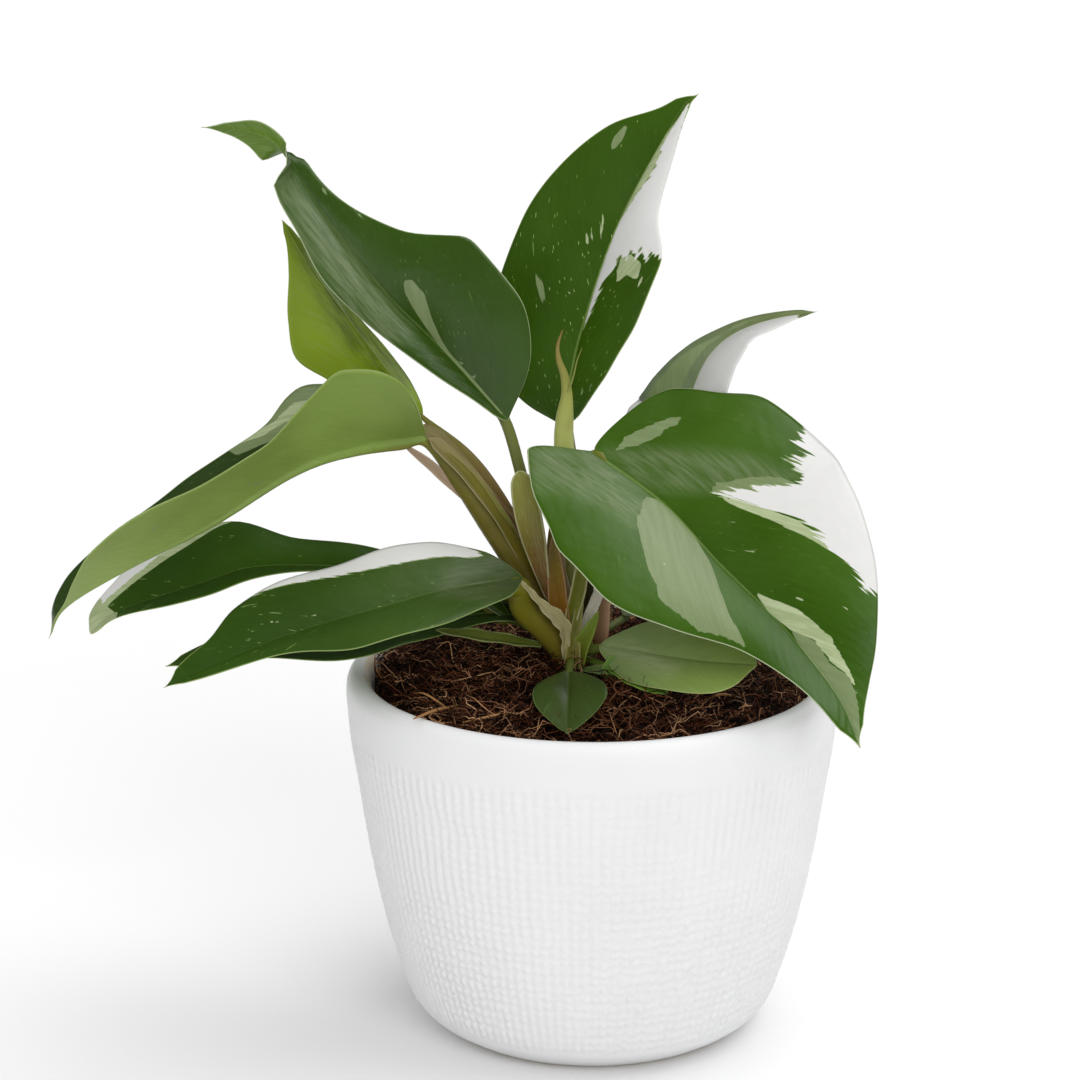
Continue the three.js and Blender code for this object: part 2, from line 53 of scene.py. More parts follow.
# %% Camera
CAMERA_PLACE = (-14.9, -1035.8, 438.6)
CAMERA_DOWN = 15.96
LENS = 127.5
SENSOR_WIDTH = 36
camera_data = bpy.data.cameras.new("camera")
camera_data.lens = LENS
camera_data.sensor_width = SENSOR_WIDTH
camera = bpy.data.objects.new("camera", camera_data)
camera.location = [value * MM for value in CAMERA_PLACE]
camera.rotation_euler = (math.radians(90 - CAMERA_DOWN), 0, 0)
bpy.context.scene.collection.objects.link(camera)
bpy.context.scene.camera = camera
print("camera looks down by", CAMERA_DOWN, "degrees")

# %% [markdown]
# Node trees are used for two jobs here: materials, and Geometry Nodes that grow fibres or sweep stalks.
# Both are a web of small boxes. A helper that adds a box and plugs its sockets in one line keeps each web
# readable.

# %% Helpers for node trees
def add_node(tree, kind, sockets=None, **settings):
    """Adds a node, sets it up, and fills or plugs its sockets, given by name or number."""
    made = tree.nodes.new(kind)
    for setting, value in settings.items():
        setattr(made, setting, value)
    for socket, value in (sockets or {}).items():
        if isinstance(value, bpy.types.NodeSocket):
            tree.links.new(value, made.inputs[socket])
        else:
            made.inputs[socket].default_value = value
    return made


def maths(tree, operation, *values):
    return add_node(tree, "ShaderNodeMath", dict(enumerate(values)), operation=operation).outputs[0]


def plus(tree, *values):
    return maths(tree, "ADD", *values)


def minus(tree, *values):
    return maths(tree, "SUBTRACT", *values)


def times(tree, *values):
    return maths(tree, "MULTIPLY", *values)


def distance_from_axis(tree, x, y):
    return maths(tree, "SQRT", plus(tree, times(tree, x, x), times(tree, y, y)))


def vector_maths(tree, operation, *values):
    return add_node(tree, "ShaderNodeVectorMath", dict(enumerate(values)), operation=operation).outputs[0]


def scaled(tree, vector, scale):
    return add_node(tree, "ShaderNodeVectorMath", {0: vector, "Scale": scale}, operation="SCALE").outputs[0]


def split_xyz(tree, vector):
    return add_node(tree, "ShaderNodeSeparateXYZ", {0: vector}).outputs


def join_xyz(tree, x, y, z=0.0):
    return add_node(tree, "ShaderNodeCombineXYZ", {0: x, 1: y, 2: z}).outputs[0]


def ramp(tree, value, low, high, to_low=0.0, to_high=1.0):
    """Turns a value between low and high smoothly into one between to_low and to_high."""
    sockets = {"Value": value, "From Min": low, "From Max": high, "To Min": to_low, "To Max": to_high}
    return add_node(tree, "ShaderNodeMapRange", sockets, interpolation_type="SMOOTHSTEP").outputs[0]


def noise(tree, place, scale, detail=2.0, roughness=0.5):
    sockets = {"Vector": place, "Scale": scale, "Detail": detail, "Roughness": roughness}
    return add_node(tree, "ShaderNodeTexNoise", sockets).outputs[0]


def mix_colour(tree, factor, first, second):
    made = add_node(tree, "ShaderNodeMix", data_type="RGBA")
    for socket, value in ((made.inputs[0], factor), (made.inputs[6], first), (made.inputs[7], second)):
        if isinstance(value, bpy.types.NodeSocket):
            tree.links.new(value, socket)
        else:
            socket.default_value = value
    return made.outputs[2]


def srgb(red, green, blue):
    """A colour as a screen shows it, 0 to 255, turned into the linear values that light works with."""
    parts = [c / 255 for c in (red, green, blue)]
    return (*(((c + 0.055) / 1.055) ** 2.4 if c > 10 / 255 else c / 12.92 for c in parts), 1.0)


print("a leaf green in linear light:", [round(c, 3) for c in srgb(45, 77, 13)])

# %% [markdown]
# Every material starts the same way: a principled shader whose colour, roughness and bump come from nodes.
# Values that are the same all over a surface are set on the shader's own sockets.

# %% Helper for materials
def start_material(name, **values):
    material = bpy.data.materials.new(name)
    material.use_nodes = True
    tree = material.node_tree
    shader = tree.nodes["Principled BSDF"]
    for socket, value in values.items():
        shader.inputs[socket.replace("_", " ")].default_value = value
    return material, tree, shader


def read_attribute(tree, name, kind):
    """A value hung on the piece's points, as a Color, a Vector or a single number, Fac."""
    return add_node(tree, "ShaderNodeAttribute", attribute_name=name).outputs[kind]


def object_place(tree):
    return add_node(tree, "ShaderNodeTexCoord").outputs["Object"]


def bump(tree, shader, height, distance, strength=1.0):
    sockets = {"Height": height, "Distance": distance, "Strength": strength}
    tree.links.new(add_node(tree, "ShaderNodeBump", sockets).outputs[0], shader.inputs["Normal"])


print("materials before the first is made:", len(bpy.data.materials))

# %% [markdown]
# A Geometry Nodes tree is built once, given named inputs, and run on an object through a modifier.
# The result is copied to a plain mesh and the modifier goes.

# %% Helpers for Geometry Nodes
SOCKETS = {float: "NodeSocketFloat", int: "NodeSocketInt", bpy.types.Material: "NodeSocketMaterial"}


def start_tree(name, **inputs):
    tree = bpy.data.node_groups.new(name, "GeometryNodeTree")
    tree.interface.new_socket("Geometry", in_out="INPUT", socket_type="NodeSocketGeometry")
    tree.interface.new_socket("Geometry", in_out="OUTPUT", socket_type="NodeSocketGeometry")
    for label, value in inputs.items():
        socket = tree.interface.new_socket(label, in_out="INPUT", socket_type=SOCKETS[type(value)])
        socket.default_value = value
    return tree, tree.nodes.new("NodeGroupInput").outputs


def shape_node(tree, kind, **sockets):
    """Adds a Geometry Nodes box and gives its first output; a socket's name has _ for each space."""
    named = {socket.replace("_", " "): value for socket, value in sockets.items()}
    return add_node(tree, "GeometryNode" + kind, named).outputs[0]


def read_named(tree, name):
    return add_node(tree, "GeometryNodeInputNamedAttribute", {"Name": name}, data_type="FLOAT").outputs[0]


def end_tree(tree, geometry, material):
    """Ends a tree in real geometry with its material on it."""
    real = shape_node(tree, "RealizeInstances", Geometry=geometry)
    shaded = shape_node(tree, "SetShadeSmooth", Geometry=real, Shade_Smooth=True)
    painted = shape_node(tree, "SetMaterial", Geometry=shaded, Material=material)
    add_node(tree, "NodeGroupOutput", {0: painted})


def grow(piece, tree, **values):
    """Runs a tree on a piece and keeps the result as the piece's own plain mesh."""
    modifier = piece.modifiers.new(tree.name, "NODES")
    modifier.node_group = tree
    for item in tree.interface.items_tree:
        if item.in_out == "INPUT" and item.name in values:
            modifier[item.identifier] = values[item.name]
    bpy.context.view_layer.update()
    grown = bpy.data.meshes.new_from_object(piece.evaluated_get(bpy.context.evaluated_depsgraph_get()))
    piece.modifiers.remove(modifier)
    piece.data = grown
    return piece


print("kinds of input that a tree here can take:", len(SOCKETS))

# %% [markdown]
# Meshes made by formula are rows of points joined by quads. This helper turns such rows into an object,
# and hangs named values on its points, which the materials read later.

# %% Helper for meshes
ATTRIBUTE_KINDS = {1: ("FLOAT", "value"), 3: ("FLOAT_VECTOR", "vector"), 4: ("FLOAT_COLOR", "color")}


def make_piece(name, places, faces=(), edges=(), material=None, attributes=None):
    mesh = bpy.data.meshes.new(name)
    corners = [list(map(int, face)) for face in faces]
    mesh.from_pydata(np.asarray(places, float).tolist(), list(edges), corners)
    for label, values in (attributes or {}).items():
        values = np.asarray(values, np.float32)
        width = 1 if values.ndim == 1 else values.shape[1]
        kind, member = ATTRIBUTE_KINDS[width]
        mesh.attributes.new(label, kind, "POINT").data.foreach_set(member, values.ravel())
    if len(faces):
        mesh.polygons.foreach_set("use_smooth", [True] * len(mesh.polygons))
    if material:
        mesh.materials.append(material)
    mesh.update()
    piece = bpy.data.objects.new(name, mesh)
    bpy.context.scene.collection.objects.link(piece)
    return piece


def grid_faces(rows, columns, start=0, closed=False):
    """Quads between the points of a grid, row after row; a closed grid joins its last column to its first."""
    here = np.arange(rows * columns).reshape(rows, columns)
    right = np.roll(here, -1, axis=1)
    last = columns if closed else columns - 1
    quads = np.stack([here[:-1], right[:-1], right[1:], here[1:]], axis=-1)[:, :last]
    return quads.reshape(-1, 4) + start


print("a closed grid of 3 rows of 4 points has", len(grid_faces(3, 4, closed=True)), "quads")

# %% [markdown]
# Leaves are grown, not extruded. Each one is measured as a botanist would press it: the midrib's course
# through the air, the way its face looks, and its half widths to the left and right at stations from base
# to tip. The solid model was shaped from nearly the same figures, so the fine blades lie where the solid
# ones do. A width or fold that is the same on both sides is given once.

# %% Leaf measurements
STATIONS = [0, 0.08, 0.2, 0.35, 0.5, 0.65, 0.8, 0.92, 1]
LEAVES = {
    "upper_left": {
        "midrib": [(-24, 8, 175), (-40, 9, 193), (-58, 11, 211), (-76, 14, 234), (-84, 15.5, 247),
            (-90, 16, 253.5), (-99, 15, 256.5), (-108.8, 14, 257.3)],
        "facing": [(0, 0.35, -0.9, 0.35), (0.7, 0.35, -0.9, 0.3), (0.745, 0.45, -0.85, 0.25),
            (0.785, 0.73, 0, 0.68), (0.825, -0.1, 1, 0.1), (1, 0, 1, 0.2)],
        "stations": [0, 0.08, 0.2, 0.35, 0.5, 0.65, 0.76, 0.8, 0.84, 0.88, 0.93, 1],
        "left": [1.5, 4.3, 9.3, 12, 14.6, 11, 8.8, 2.4, 3, 3.8, 2, 0.3],
        "right": [2, 17.5, 26.4, 28, 14, 6, 4, 6.2, 6.4, 4.4, 2.2, 0.3], "fold": [26, 26, 24, 20, 10, 0],
        "stalk": [(-8.5, 3, 115), (-12.5, 5, 129), (-16.5, 7, 143.5), (-20.5, 8, 160.5)],
        "radii": [2.4, 2.2, 1.9, 1.7, 1.6]
    },
    "upper_back": {
        "midrib": [(-8, 14, 172), (-6, 18, 186), (-2, 24, 201), (8, 32, 228), (24, 40, 256), (30, 42, 262)],
        "facing": [(0, -0.45, -0.9, 0.3), (1, -0.4, -0.9, 0.3)],
        "left": [3, 16, 22, 27, 26, 22, 15.5, 4.8, 0.8], "right": [3, 9, 16.4, 20.6, 22, 12, 7, 3, 0.8],
        "fold": [20, 22, 20], "stalk": [(-6, 9, 114.5), (-5, 12, 133), (-5, 14, 153)],
        "radii": [2.4, 2.2, 1.9, 1.6]
    },
    "right_back": {
        "midrib": [(12, 22, 163), (24, 26, 169.2), (28.5, 30, 178.6), (31.3, 33, 184.4), (34.7, 37, 188.3),
            (39.6, 41, 191.6), (45.8, 44, 194), (54.1, 46, 196), (65.4, 48, 197.5)],
        "facing": [(0, -0.3, -0.5, 1), (0.5, -0.3, -0.3, 1), (1, -0.2, -0.3, 1)],
        "left": [6, 14, 15, 12.5, 7.6, 4, 3.4, 2.4, 0.6], "right": [4, 13, 17, 18.5, 18, 16, 11, 4, 0.6],
        "fold": [15, 20, 15], "stalk": [(1.5, 7, 104), (2.6, 7.5, 113.5), (3.4, 11, 126), (6.5, 18, 143)],
        "radii": [2.2, 2.2, 2.2, 1.8, 1.5]
    },
    "large_right": {
        "midrib": [(0, -4, 169), (19, -16, 157.6), (34, -28, 144), (51, -42, 130), (65, -56, 115),
            (71, -64, 102.6)], "facing": [(0, 0.2, -0.7, 1), (0.5, 0.3, -1, 0.8), (1, 0.6, -1, 0.5)],
        "stations": [0, 0.04, 0.08, 0.14, 0.2, 0.35, 0.5, 0.65, 0.8, 0.92, 1],
        "left": [4.7, 29.7, 34.4, 39, 45.5, 46.9, 42.4, 32.6, 18.4, 5, 0.8],
        "right": [11, 19.5, 27, 32.8, 37.7, 37.6, 27.5, 16, 10.4, 6.7, 0.8], "fold": [8, 10, 12],
        "lobe_left": 4.5, "lobe_right": 16, "round_left": 0.03, "round_right": 0.02,
        "stalk": [(-5.5, -1, 113), (-8.5, -2, 125.5), (-10.5, -2, 137), (-8.5, -1, 151.5)],
        "radii": [3, 2.9, 2.7, 2.4, 2]
    },
    "long_left": {
        "midrib": [(-47, 2, 172), (-68, -3, 169), (-84, -8, 164), (-106, -14, 151), (-129, -20, 140),
            (-146, -24, 130), (-151, -25, 121)],
        "facing": [(0, -0.1, 0.35, 1), (0.33, -0.1, 0.35, 1), (0.67, -0.3, 0.35, 1), (1, -0.6, 0.3, 0.8)],
        "stations": [0, 0.08, 0.14, 0.2, 0.26, 0.3, 0.35, 0.5, 0.65, 0.8, 0.87, 0.92, 1],
        "left": [9, 37, 42.5, 42.5, 31, 23, 18, 17.6, 18.4, 16, 8.5, 1.6, 0.4],
        "right": [5, 22, 29, 30.5, 25.5, 21, 19.4, 19.4, 16.5, 14, 12, 8, 0.8],
        "fold_left": [20, 32, 35, 20], "fold_right": [40, 55, 55, 38], "keel": 0.6,
        "stalk": [(-10, 0, 114), (-19, 1, 132), (-28.5, 2, 147), (-37, 2, 160)],
        "radii": [4.4, 4.2, 3.9, 3.4, 2.4]
    },
    "young_left": {
        "midrib": [(-48, 8, 176), (-58, 11, 188), (-69, 13, 203), (-79, 15, 217), (-87, 16, 231)],
        "facing": [(0, -0.45, 0.8, 0.3), (0.5, -0.45, 0.8, 0.3), (1, -0.4, 0.8, 0.3)],
        "left": [2, 6, 10, 12, 10, 8, 6, 3, 0.8], "right": [2, 5, 10, 15, 19, 14, 6, 2, 0.8],
        "fold_left": [60, 70, 60], "fold_right": [20, 20, 15], "roll": 6, "keel": 0.5,
        "stalk": [(-9, 8, 114), (-17.5, 9, 134.5), (-27, 9.5, 152.5), (-36, 9, 165)],
        "radii": [2.4, 2.3, 2.1, 1.8, 1.4]
    },
    "middle_left": {
        "midrib": [(-24, 2, 119), (-42, 4, 130), (-60, 6, 132), (-78, 6, 133), (-97, 4, 133),
            (-111, 2, 129), (-134, -2, 122), (-142, -4, 116)],
        "facing": [(0, 0, -0.2, 1), (0.5, 0, -0.2, 1), (1, -0.3, -0.2, 1)],
        "left": [2, 3, 3.5, 4, 6.5, 10, 10.5, 6, 2.4], "right": [3, 4, 5, 8, 11, 20.5, 20, 10.5, 3.6],
        "fold_left": [5, 8, 8], "fold_right": [20, 20, 20], "tip": 0.03, "blunt": True,
        "stalk": [(-11, 5, 116), (-20.5, 7, 122), (-30.5, 7, 125.5)], "radii": [2.2, 2, 1.7, 1.4]
    },
    "low_left": {
        "midrib": [(-20, -12, 135), (-40, -20, 134), (-59, -28, 131), (-80, -36, 127), (-97, -42, 122),
            (-117, -50, 115)], "facing": [(0, 0, -0.3, 1), (0.5, 0, -0.3, 1), (1, -0.2, -0.3, 1)],
        "stations": [0, 0.08, 0.2, 0.35, 0.5, 0.65, 0.74, 0.84, 0.92, 1],
        "left": [4, 11, 15, 18, 17, 11, 8, 5, 3.4, 0.8],
        "right": [5, 12, 18, 19, 18.5, 17.5, 15.8, 8.6, 5.5, 0.8], "fold_left": [5, 5, 5],
        "fold_right": [18, 18, 18], "round": 0.07, "blade_keel": 2.4,
        "stalk": [(-6.5, -1.5, 104), (-8.5, -3, 111.5), (-13.8, -5, 118.5), (-19.6, -8, 125.4)],
        "radii": [4.2, 4.3, 4.2, 3.9, 3]
    },
    "low_left_under": {
        "midrib": [(-20, 4, 118.5), (-31, 2, 120), (-54.5, -4, 117.5), (-74, -12, 116.5), (-95.5, -20, 117),
            (-118.5, -28, 114)], "facing": [(0, 0, -0.2, 1), (0.5, 0, -0.2, 1), (1, -0.1, -0.2, 1)],
        "left": [4, 7, 9, 12, 16, 14, 9, 4.5, 0.8], "right": [5, 8, 10, 12, 15, 13, 9, 4.5, 0.8],
        "fold": [8, 8, 8], "stalk": [(-10, 1.5, 110.5), (-15, 3, 114)], "radii": [1.8, 1.6, 1.4]
    },
    "small_right": {
        "midrib": [(2, -8, 114), (16, -18, 114.5), (30, -28, 115.5), (44.6, -36, 117)],
        "facing": [(0, 0.1, -0.8, 0.9), (1, 0.1, -0.8, 0.9)],
        "left": [1.5, 5, 9.5, 12.5, 13.5, 13, 11, 7, 2], "right": [1.5, 4.5, 9, 12, 13, 12.8, 11.5, 8, 2],
        "fold_left": [5, 6, 6], "fold_right": [6, 8, 6], "tip": 0.1, "blunt": True,
        "stalk": [(-3.5, -3, 110.5), (-0.5, -6, 112)], "radii": [1.6, 1.5, 1.2]
    },
    "small_right_under": {
        "midrib": [(3.4, -13, 110.5), (9, -18, 109), (14, -25, 108), (20.5, -32, 107.2)],
        "facing": [(0, 0.2, -0.5, 1), (1, 0.1, -0.5, 1)], "both": [1, 2.4, 3.6, 4.4, 4.6, 4, 2.8, 1.6, 0.6],
        "fold": [10, 12, 12], "stalk": [(-2, -3, 108)], "radii": [1.2, 1]
    },
    "small_back": {
        "midrib": [(9, 17, 115), (13, 20, 116.5), (17, 23, 117.5), (23, 27, 118.5)],
        "facing": [(0, -0.1, -0.5, 1), (1, -0.1, -0.4, 1)], "both": [1, 2.6, 4, 5, 5, 4.4, 3, 1.6, 0.6],
        "fold": [10, 12, 12], "stalk": [(-2, 8, 110)], "radii": [1.3, 1.1]
    },
    "small_front": {
        "midrib": [(-7, -28, 112.5), (-7.2, -41, 109), (-7.5, -53, 102.8)],
        "facing": [(0, 0, -0.4, 1), (0.5, 0, -0.6, 1), (1, 0, -0.9, 1)],
        "left": [1.4, 4.6, 7.6, 10.2, 11, 9.4, 6.4, 3, 0.6],
        "right": [1.2, 3.2, 6, 8.8, 10, 9.4, 6.6, 3.2, 0.6], "fold": [10, 12, 12],
        "stalk": [(-6, -4, 108.5), (-6.5, -16, 110.5)], "radii": [1.4, 1.2, 1.1]
    },
}
SHEATHS = {
    "sheath_front": {
        "midrib": [(-12.5, -6, 126.5), (-15.5, -9, 139), (-18.5, -10, 152.5), (-20.5, -9, 165)],
        "facing": [(0, 0.2, 1, 0.2), (1, 0.2, 1, 0.1)], "both": [0.8, 1.5, 2.3, 3.2, 4, 4.3, 4.1, 3.6, 3],
        "fold": [30, 25, 20], "tip": 0.12, "blunt": True, "roll": 2
    },
    "sheath_long_left": {
        "midrib": [(-18, 6, 140), (-26.8, 6, 151.8), (-34.6, 5.5, 162), (-42, 4.5, 170.5),
            (-48.5, 4, 173.9)], "facing": [(0, -0.6, 0.5, -0.6), (1, -0.6, 0.5, -0.6)],
        "left": [0.8, 1.8, 3, 4, 4.6, 4.8, 4.4, 3.8, 3], "right": [0.8, 1.8, 3, 4, 4.4, 4.6, 4.6, 4.2, 3],
        "fold": [25, 25, 20], "tip": 0.06, "blunt": True, "roll": 3
    },
    "sheath_low_left": {
        "midrib": [(-14.5, -6, 113), (-26, -11, 116), (-37.5, -14.5, 119), (-44, -16.5, 121)],
        "facing": [(0, 0.1, -0.4, 1), (1, 0.1, -0.4, 1)], "both": [1.4, 2, 2.6, 3, 3.2, 3, 2.2, 1.4, 0.6],
        "fold": [35, 35, 30], "roll": 1.5
    },
}
print("leaves:", len(LEAVES), "sheaths:", len(SHEATHS))

# %% [markdown]
# A midrib is a smooth curve through a few points, walked in even steps. Directions and widths between the
# given stations are eased, so that nothing on the leaf has a corner.

# %% Curves and easing
WALK_STEPS = 60


def unit(vectors):
    return vectors / np.linalg.norm(vectors, axis=-1, keepdims=True)


def smooth_path(points, steps):
    """Walks a smooth curve through the points in even steps; also returns its length.

    A fourth value in a point, such as a radius, is eased along with its place."""
    points = np.asarray(points, float)
    ends = np.vstack([2 * points[0] - points[1], points, 2 * points[-1] - points[-2]])
    t = np.linspace(0, 1, WALK_STEPS, endpoint=False)[:, None]
    walk = []
    for before, start, stop, after in zip(ends, ends[1:], ends[2:], ends[3:]):
        square = 2 * before - 5 * start + 4 * stop - after
        cube = 3 * start - before - 3 * stop + after
        walk.append(0.5 * (2 * start + (stop - before) * t + square * t**2 + cube * t**3))
    walk = np.vstack(walk + [points[-1:]])
    reached = np.r_[0, np.cumsum(np.linalg.norm(np.diff(walk[:, :3], axis=0), axis=1))]
    even = np.linspace(0, reached[-1], steps + 1)
    columns = [np.interp(even, reached, walk[:, axis]) for axis in range(points.shape[1])]
    return np.stack(columns, axis=1), reached[-1]


def eased(steps, u):
    """Eases from each step to the next; steps are rows of a place from 0 to 1 and then values."""
    steps = np.asarray(steps, float)
    i = np.clip(np.searchsorted(steps[:, 0], u, side="right") - 1, 0, len(steps) - 2)
    t = np.clip((u - steps[i, 0]) / (steps[i + 1, 0] - steps[i, 0]), 0, 1)[:, None]
    t = t * t * (3 - 2 * t)
    return steps[i, 1:] * (1 - t) + steps[i + 1, 1:] * t


def eased_list(values, u):
    return eased([(i / (len(values) - 1), value) for i, value in enumerate(values)], u)[:, 0]


def width_along(stations, widths, u):
    """A smooth width between the stations that never overshoots its neighbours."""
    stations = np.asarray(stations)
    widths = np.asarray(widths, float)
    slope = np.diff(widths) / np.diff(stations)
    tangent = np.r_[slope[0], np.zeros(len(slope) - 1), slope[-1]]
    same = slope[:-1] * slope[1:] > 0
    tangent[1:-1][same] = 2 * slope[:-1][same] * slope[1:][same] / (slope[:-1][same] + slope[1:][same])
    i = np.clip(np.searchsorted(stations, u, side="right") - 1, 0, len(slope) - 1)
    h = stations[i + 1] - stations[i]
    t = (u - stations[i]) / h
    return ((1 + 2 * t) * (1 - t) ** 2 * widths[i] + t * (1 - t) ** 2 * h * tangent[i]
            + t * t * (3 - 2 * t) * widths[i + 1] + t * t * (t - 1) * h * tangent[i + 1])


print("midrib of the large leaf:", round(smooth_path(LEAVES["large_right"]["midrib"], 40)[1]), "mm")

# %% [markdown]
# A blade is a thin skin with a lot going on in it. The midrib lies in a groove above and stands out as a
# keel below, fine pleats follow the side veins, each half arches a little, and the margin waves. A
# subdivided plane with a displacement map would give the pleats but not the keel, so the surface is
# worked out point by point instead: a middle surface first, then its two faces.

# %% Blade outline
DENSE = np.linspace(0, 1, 401)
SOFTEN = 12
END_CROWDING = 0.8
SMALLEST_WIDTH = 0.12


def soft_width(leaf, side, u):
    """The half width of one side, with the corners at its stations softened away."""
    widths = width_along(leaf.get("stations", STATIONS), leaf.get(side) or leaf["both"], DENSE)
    window = np.hanning(2 * SOFTEN + 3)
    padded = np.pad(widths, SOFTEN + 1, mode="reflect", reflect_type="odd")
    return np.interp(u, DENSE, np.convolve(padded, window / window.sum(), mode="valid"))


def outline_width(leaf, side, u):
    """The soft width, rounded off at the base and drawn out to a point, or rounded, at the tip."""
    base = np.clip(u / leaf.get("round_" + side, leaf.get("round", 0.04)), 0, 1)
    tip = np.clip((1 - u) / leaf.get("tip", 0.05), 0, 1)
    taper = np.sqrt(1 - (1 - tip) ** 2) if leaf.get("blunt") else tip**0.8
    return np.maximum(soft_width(leaf, side, u) * np.sqrt(1 - (1 - base) ** 2) * taper, SMALLEST_WIDTH)


def crowded_ends(rows):
    """Places from base to tip, closer together at both ends, where the outline turns fastest."""
    t = np.linspace(0, 1, rows + 1)
    return t - END_CROWDING * np.sin(2 * np.pi * t) / (2 * np.pi)


large_leaf = LEAVES["large_right"]
print("large leaf, widest:", round(max(outline_width(large_leaf, "left", DENSE)), 1), "mm left of its midrib")

# %% [markdown]
# A cross line of the blade rises from the midrib by the leaf's fold, arches between midrib and margin,
# and waves at its margin. Side veins climb towards the tip, so a pleat's place is a height along the
# midrib less the way out to it. Columns of points lie closer together at the midrib, where the keel and
# the groove are.

# %% Blade surface
VEIN_ASCENT = 1.6
VEIN_CURVE = 0.3
VEIN_PITCH = 5.2
LOBE_END = 0.3
MIDRIB_CROWDING = 1.35
ROUNDED_BY = 0.6
RIGHT_WAVE_PHASE = 1.9


def ramp_array(values, low, high):
    t = np.clip((values - low) / (high - low), 0, 1)
    return t * t * (3 - 2 * t)


def blade_surface(leaf, rows, half, look):
    """The middle surface of a leaf as a grid from its left margin to its right one, with what lies on it."""
    u = crowded_ends(rows)
    even, length = smooth_path(leaf["midrib"], len(DENSE) - 1)
    slope = unit(np.gradient(even, axis=0))
    spine = np.stack([np.interp(u, DENSE, even[:, axis]) for axis in range(3)], axis=1)
    along = unit(np.stack([np.interp(u, DENSE, slope[:, axis]) for axis in range(3)], axis=1))
    share = (np.arange(half + 1) / half) ** MIDRIB_CROWDING
    signed = np.r_[-share[:0:-1], share]
    grid = np.zeros((rows + 1, len(signed), 3))
    reach = np.zeros(grid.shape[:2])
    edge = np.zeros(grid.shape[:2])
    up = eased(leaf["facing"], u)
    up = unit(up - (up * along).sum(1, keepdims=True) * along)
    right = np.cross(along, up)
    roll = leaf.get("roll", ROUNDED_BY)
    ends = np.sin(np.pi * np.clip(u * 0.96 + 0.02, 0, 1)) ** 0.5
    for j, s in enumerate(signed):
        key = "left" if s < 0 else "right"
        side, a = np.sign(s), abs(s)
        full = outline_width(leaf, key, u)
        width = full * a
        fold = np.radians(eased_list(leaf.get("fold_" + key) or leaf["fold"], u))
        rise = np.sin(fold) * (np.sqrt(width**2 + roll**2) - roll)
        lobe_share = width / soft_width(leaf, key, u)
        back = leaf.get("lobe_" + key, 0) * np.clip(1 - u / LOBE_END, 0, 1) ** 1.5 * lobe_share**1.2
        arch = look.get("arch", 0.05) * full * 4 * a * (1 - a) * ends
        phase = 0 if s < 0 else RIGHT_WAVE_PHASE
        wave = look.get("wave", 0.6) * np.sin(2 * np.pi * look.get("waves", 3) * u + phase) * a**3 * ends
        vein = u * length - VEIN_ASCENT * width - VEIN_CURVE * full * a**3
        swell = ramp_array(a, 0.02, 0.25) * (1 - ramp_array(a, 0.6, 1)) * ends
        pleat = look.get("pleat", 0.22) * (0.5 + 0.5 * np.cos(2 * np.pi * vein / VEIN_PITCH)) * swell
        grid[:, j] = (spine + right * (side * width * np.cos(fold))[:, None]
                      + up * (rise + arch + wave + pleat)[:, None] - along * back[:, None])
        reach[:, j] = width
        edge[:, j] = full * (1 - a)
    return {"grid": grid, "u": u, "signed": signed, "length": length, "reach": reach, "edge": edge}


print("side veins", VEIN_PITCH, "mm apart along the midrib")

# %% [markdown]
# The white and grey parts are sectors of the leaf that grew without its green. Each is drawn as a
# coarse outline on the flat leaf: how far along the midrib from base to tip, and how far across, from -1
# at the left margin to 1 at the right. Every point of the blade then learns its distance to the outline
# in millimetres, and the material frays that line along the veins. An image would do it too, but it blurs
# close up.
# One grey outline, at the base of the long left leaf's right half, is a painted sheen, not a sector.

# %% Distance to a drawn outline
def distance_inside(place, outline):
    """How far each flat place is inside an outline, in its own unit; outside is negative."""
    outline = np.asarray(outline, float)
    nearest = np.full(place.shape[:2], 1e9)
    inside = np.zeros(place.shape[:2], bool)
    for start, stop in zip(outline, np.roll(outline, -1, axis=0)):
        run = stop - start
        t = np.clip(((place - start) @ run) / max(run @ run, 1e-9), 0, 1)
        nearest = np.minimum(nearest, np.linalg.norm(place - start - t[..., None] * run, axis=-1))
        crosses = (start[1] > place[..., 1]) != (stop[1] > place[..., 1])
        rise = stop[1] - start[1] if stop[1] != start[1] else 1e-9
        inside ^= crosses & (place[..., 0] < start[0] + (place[..., 1] - start[1]) / rise * run[0])
    return np.where(inside, nearest, -nearest)


SQUARE = [(0, 0), (10, 0), (10, 10), (0, 10)]
in_the_middle = distance_inside(np.full((1, 1, 2), 5.0), SQUARE)[0, 0]
print("the middle of a 10 mm square is", in_the_middle, "mm inside it")

# %% [markdown]
# The outlines are drawn on a leaf pressed flat, so each point of the blade is laid flat too: its way out
# from the midrib, and its way along it. An outline of two points is a fleck, and becomes a thin diamond.

# %% Fields of the patches
FAR_OUTSIDE = -20.0
FLECK_HALF_WIDTH = 0.4


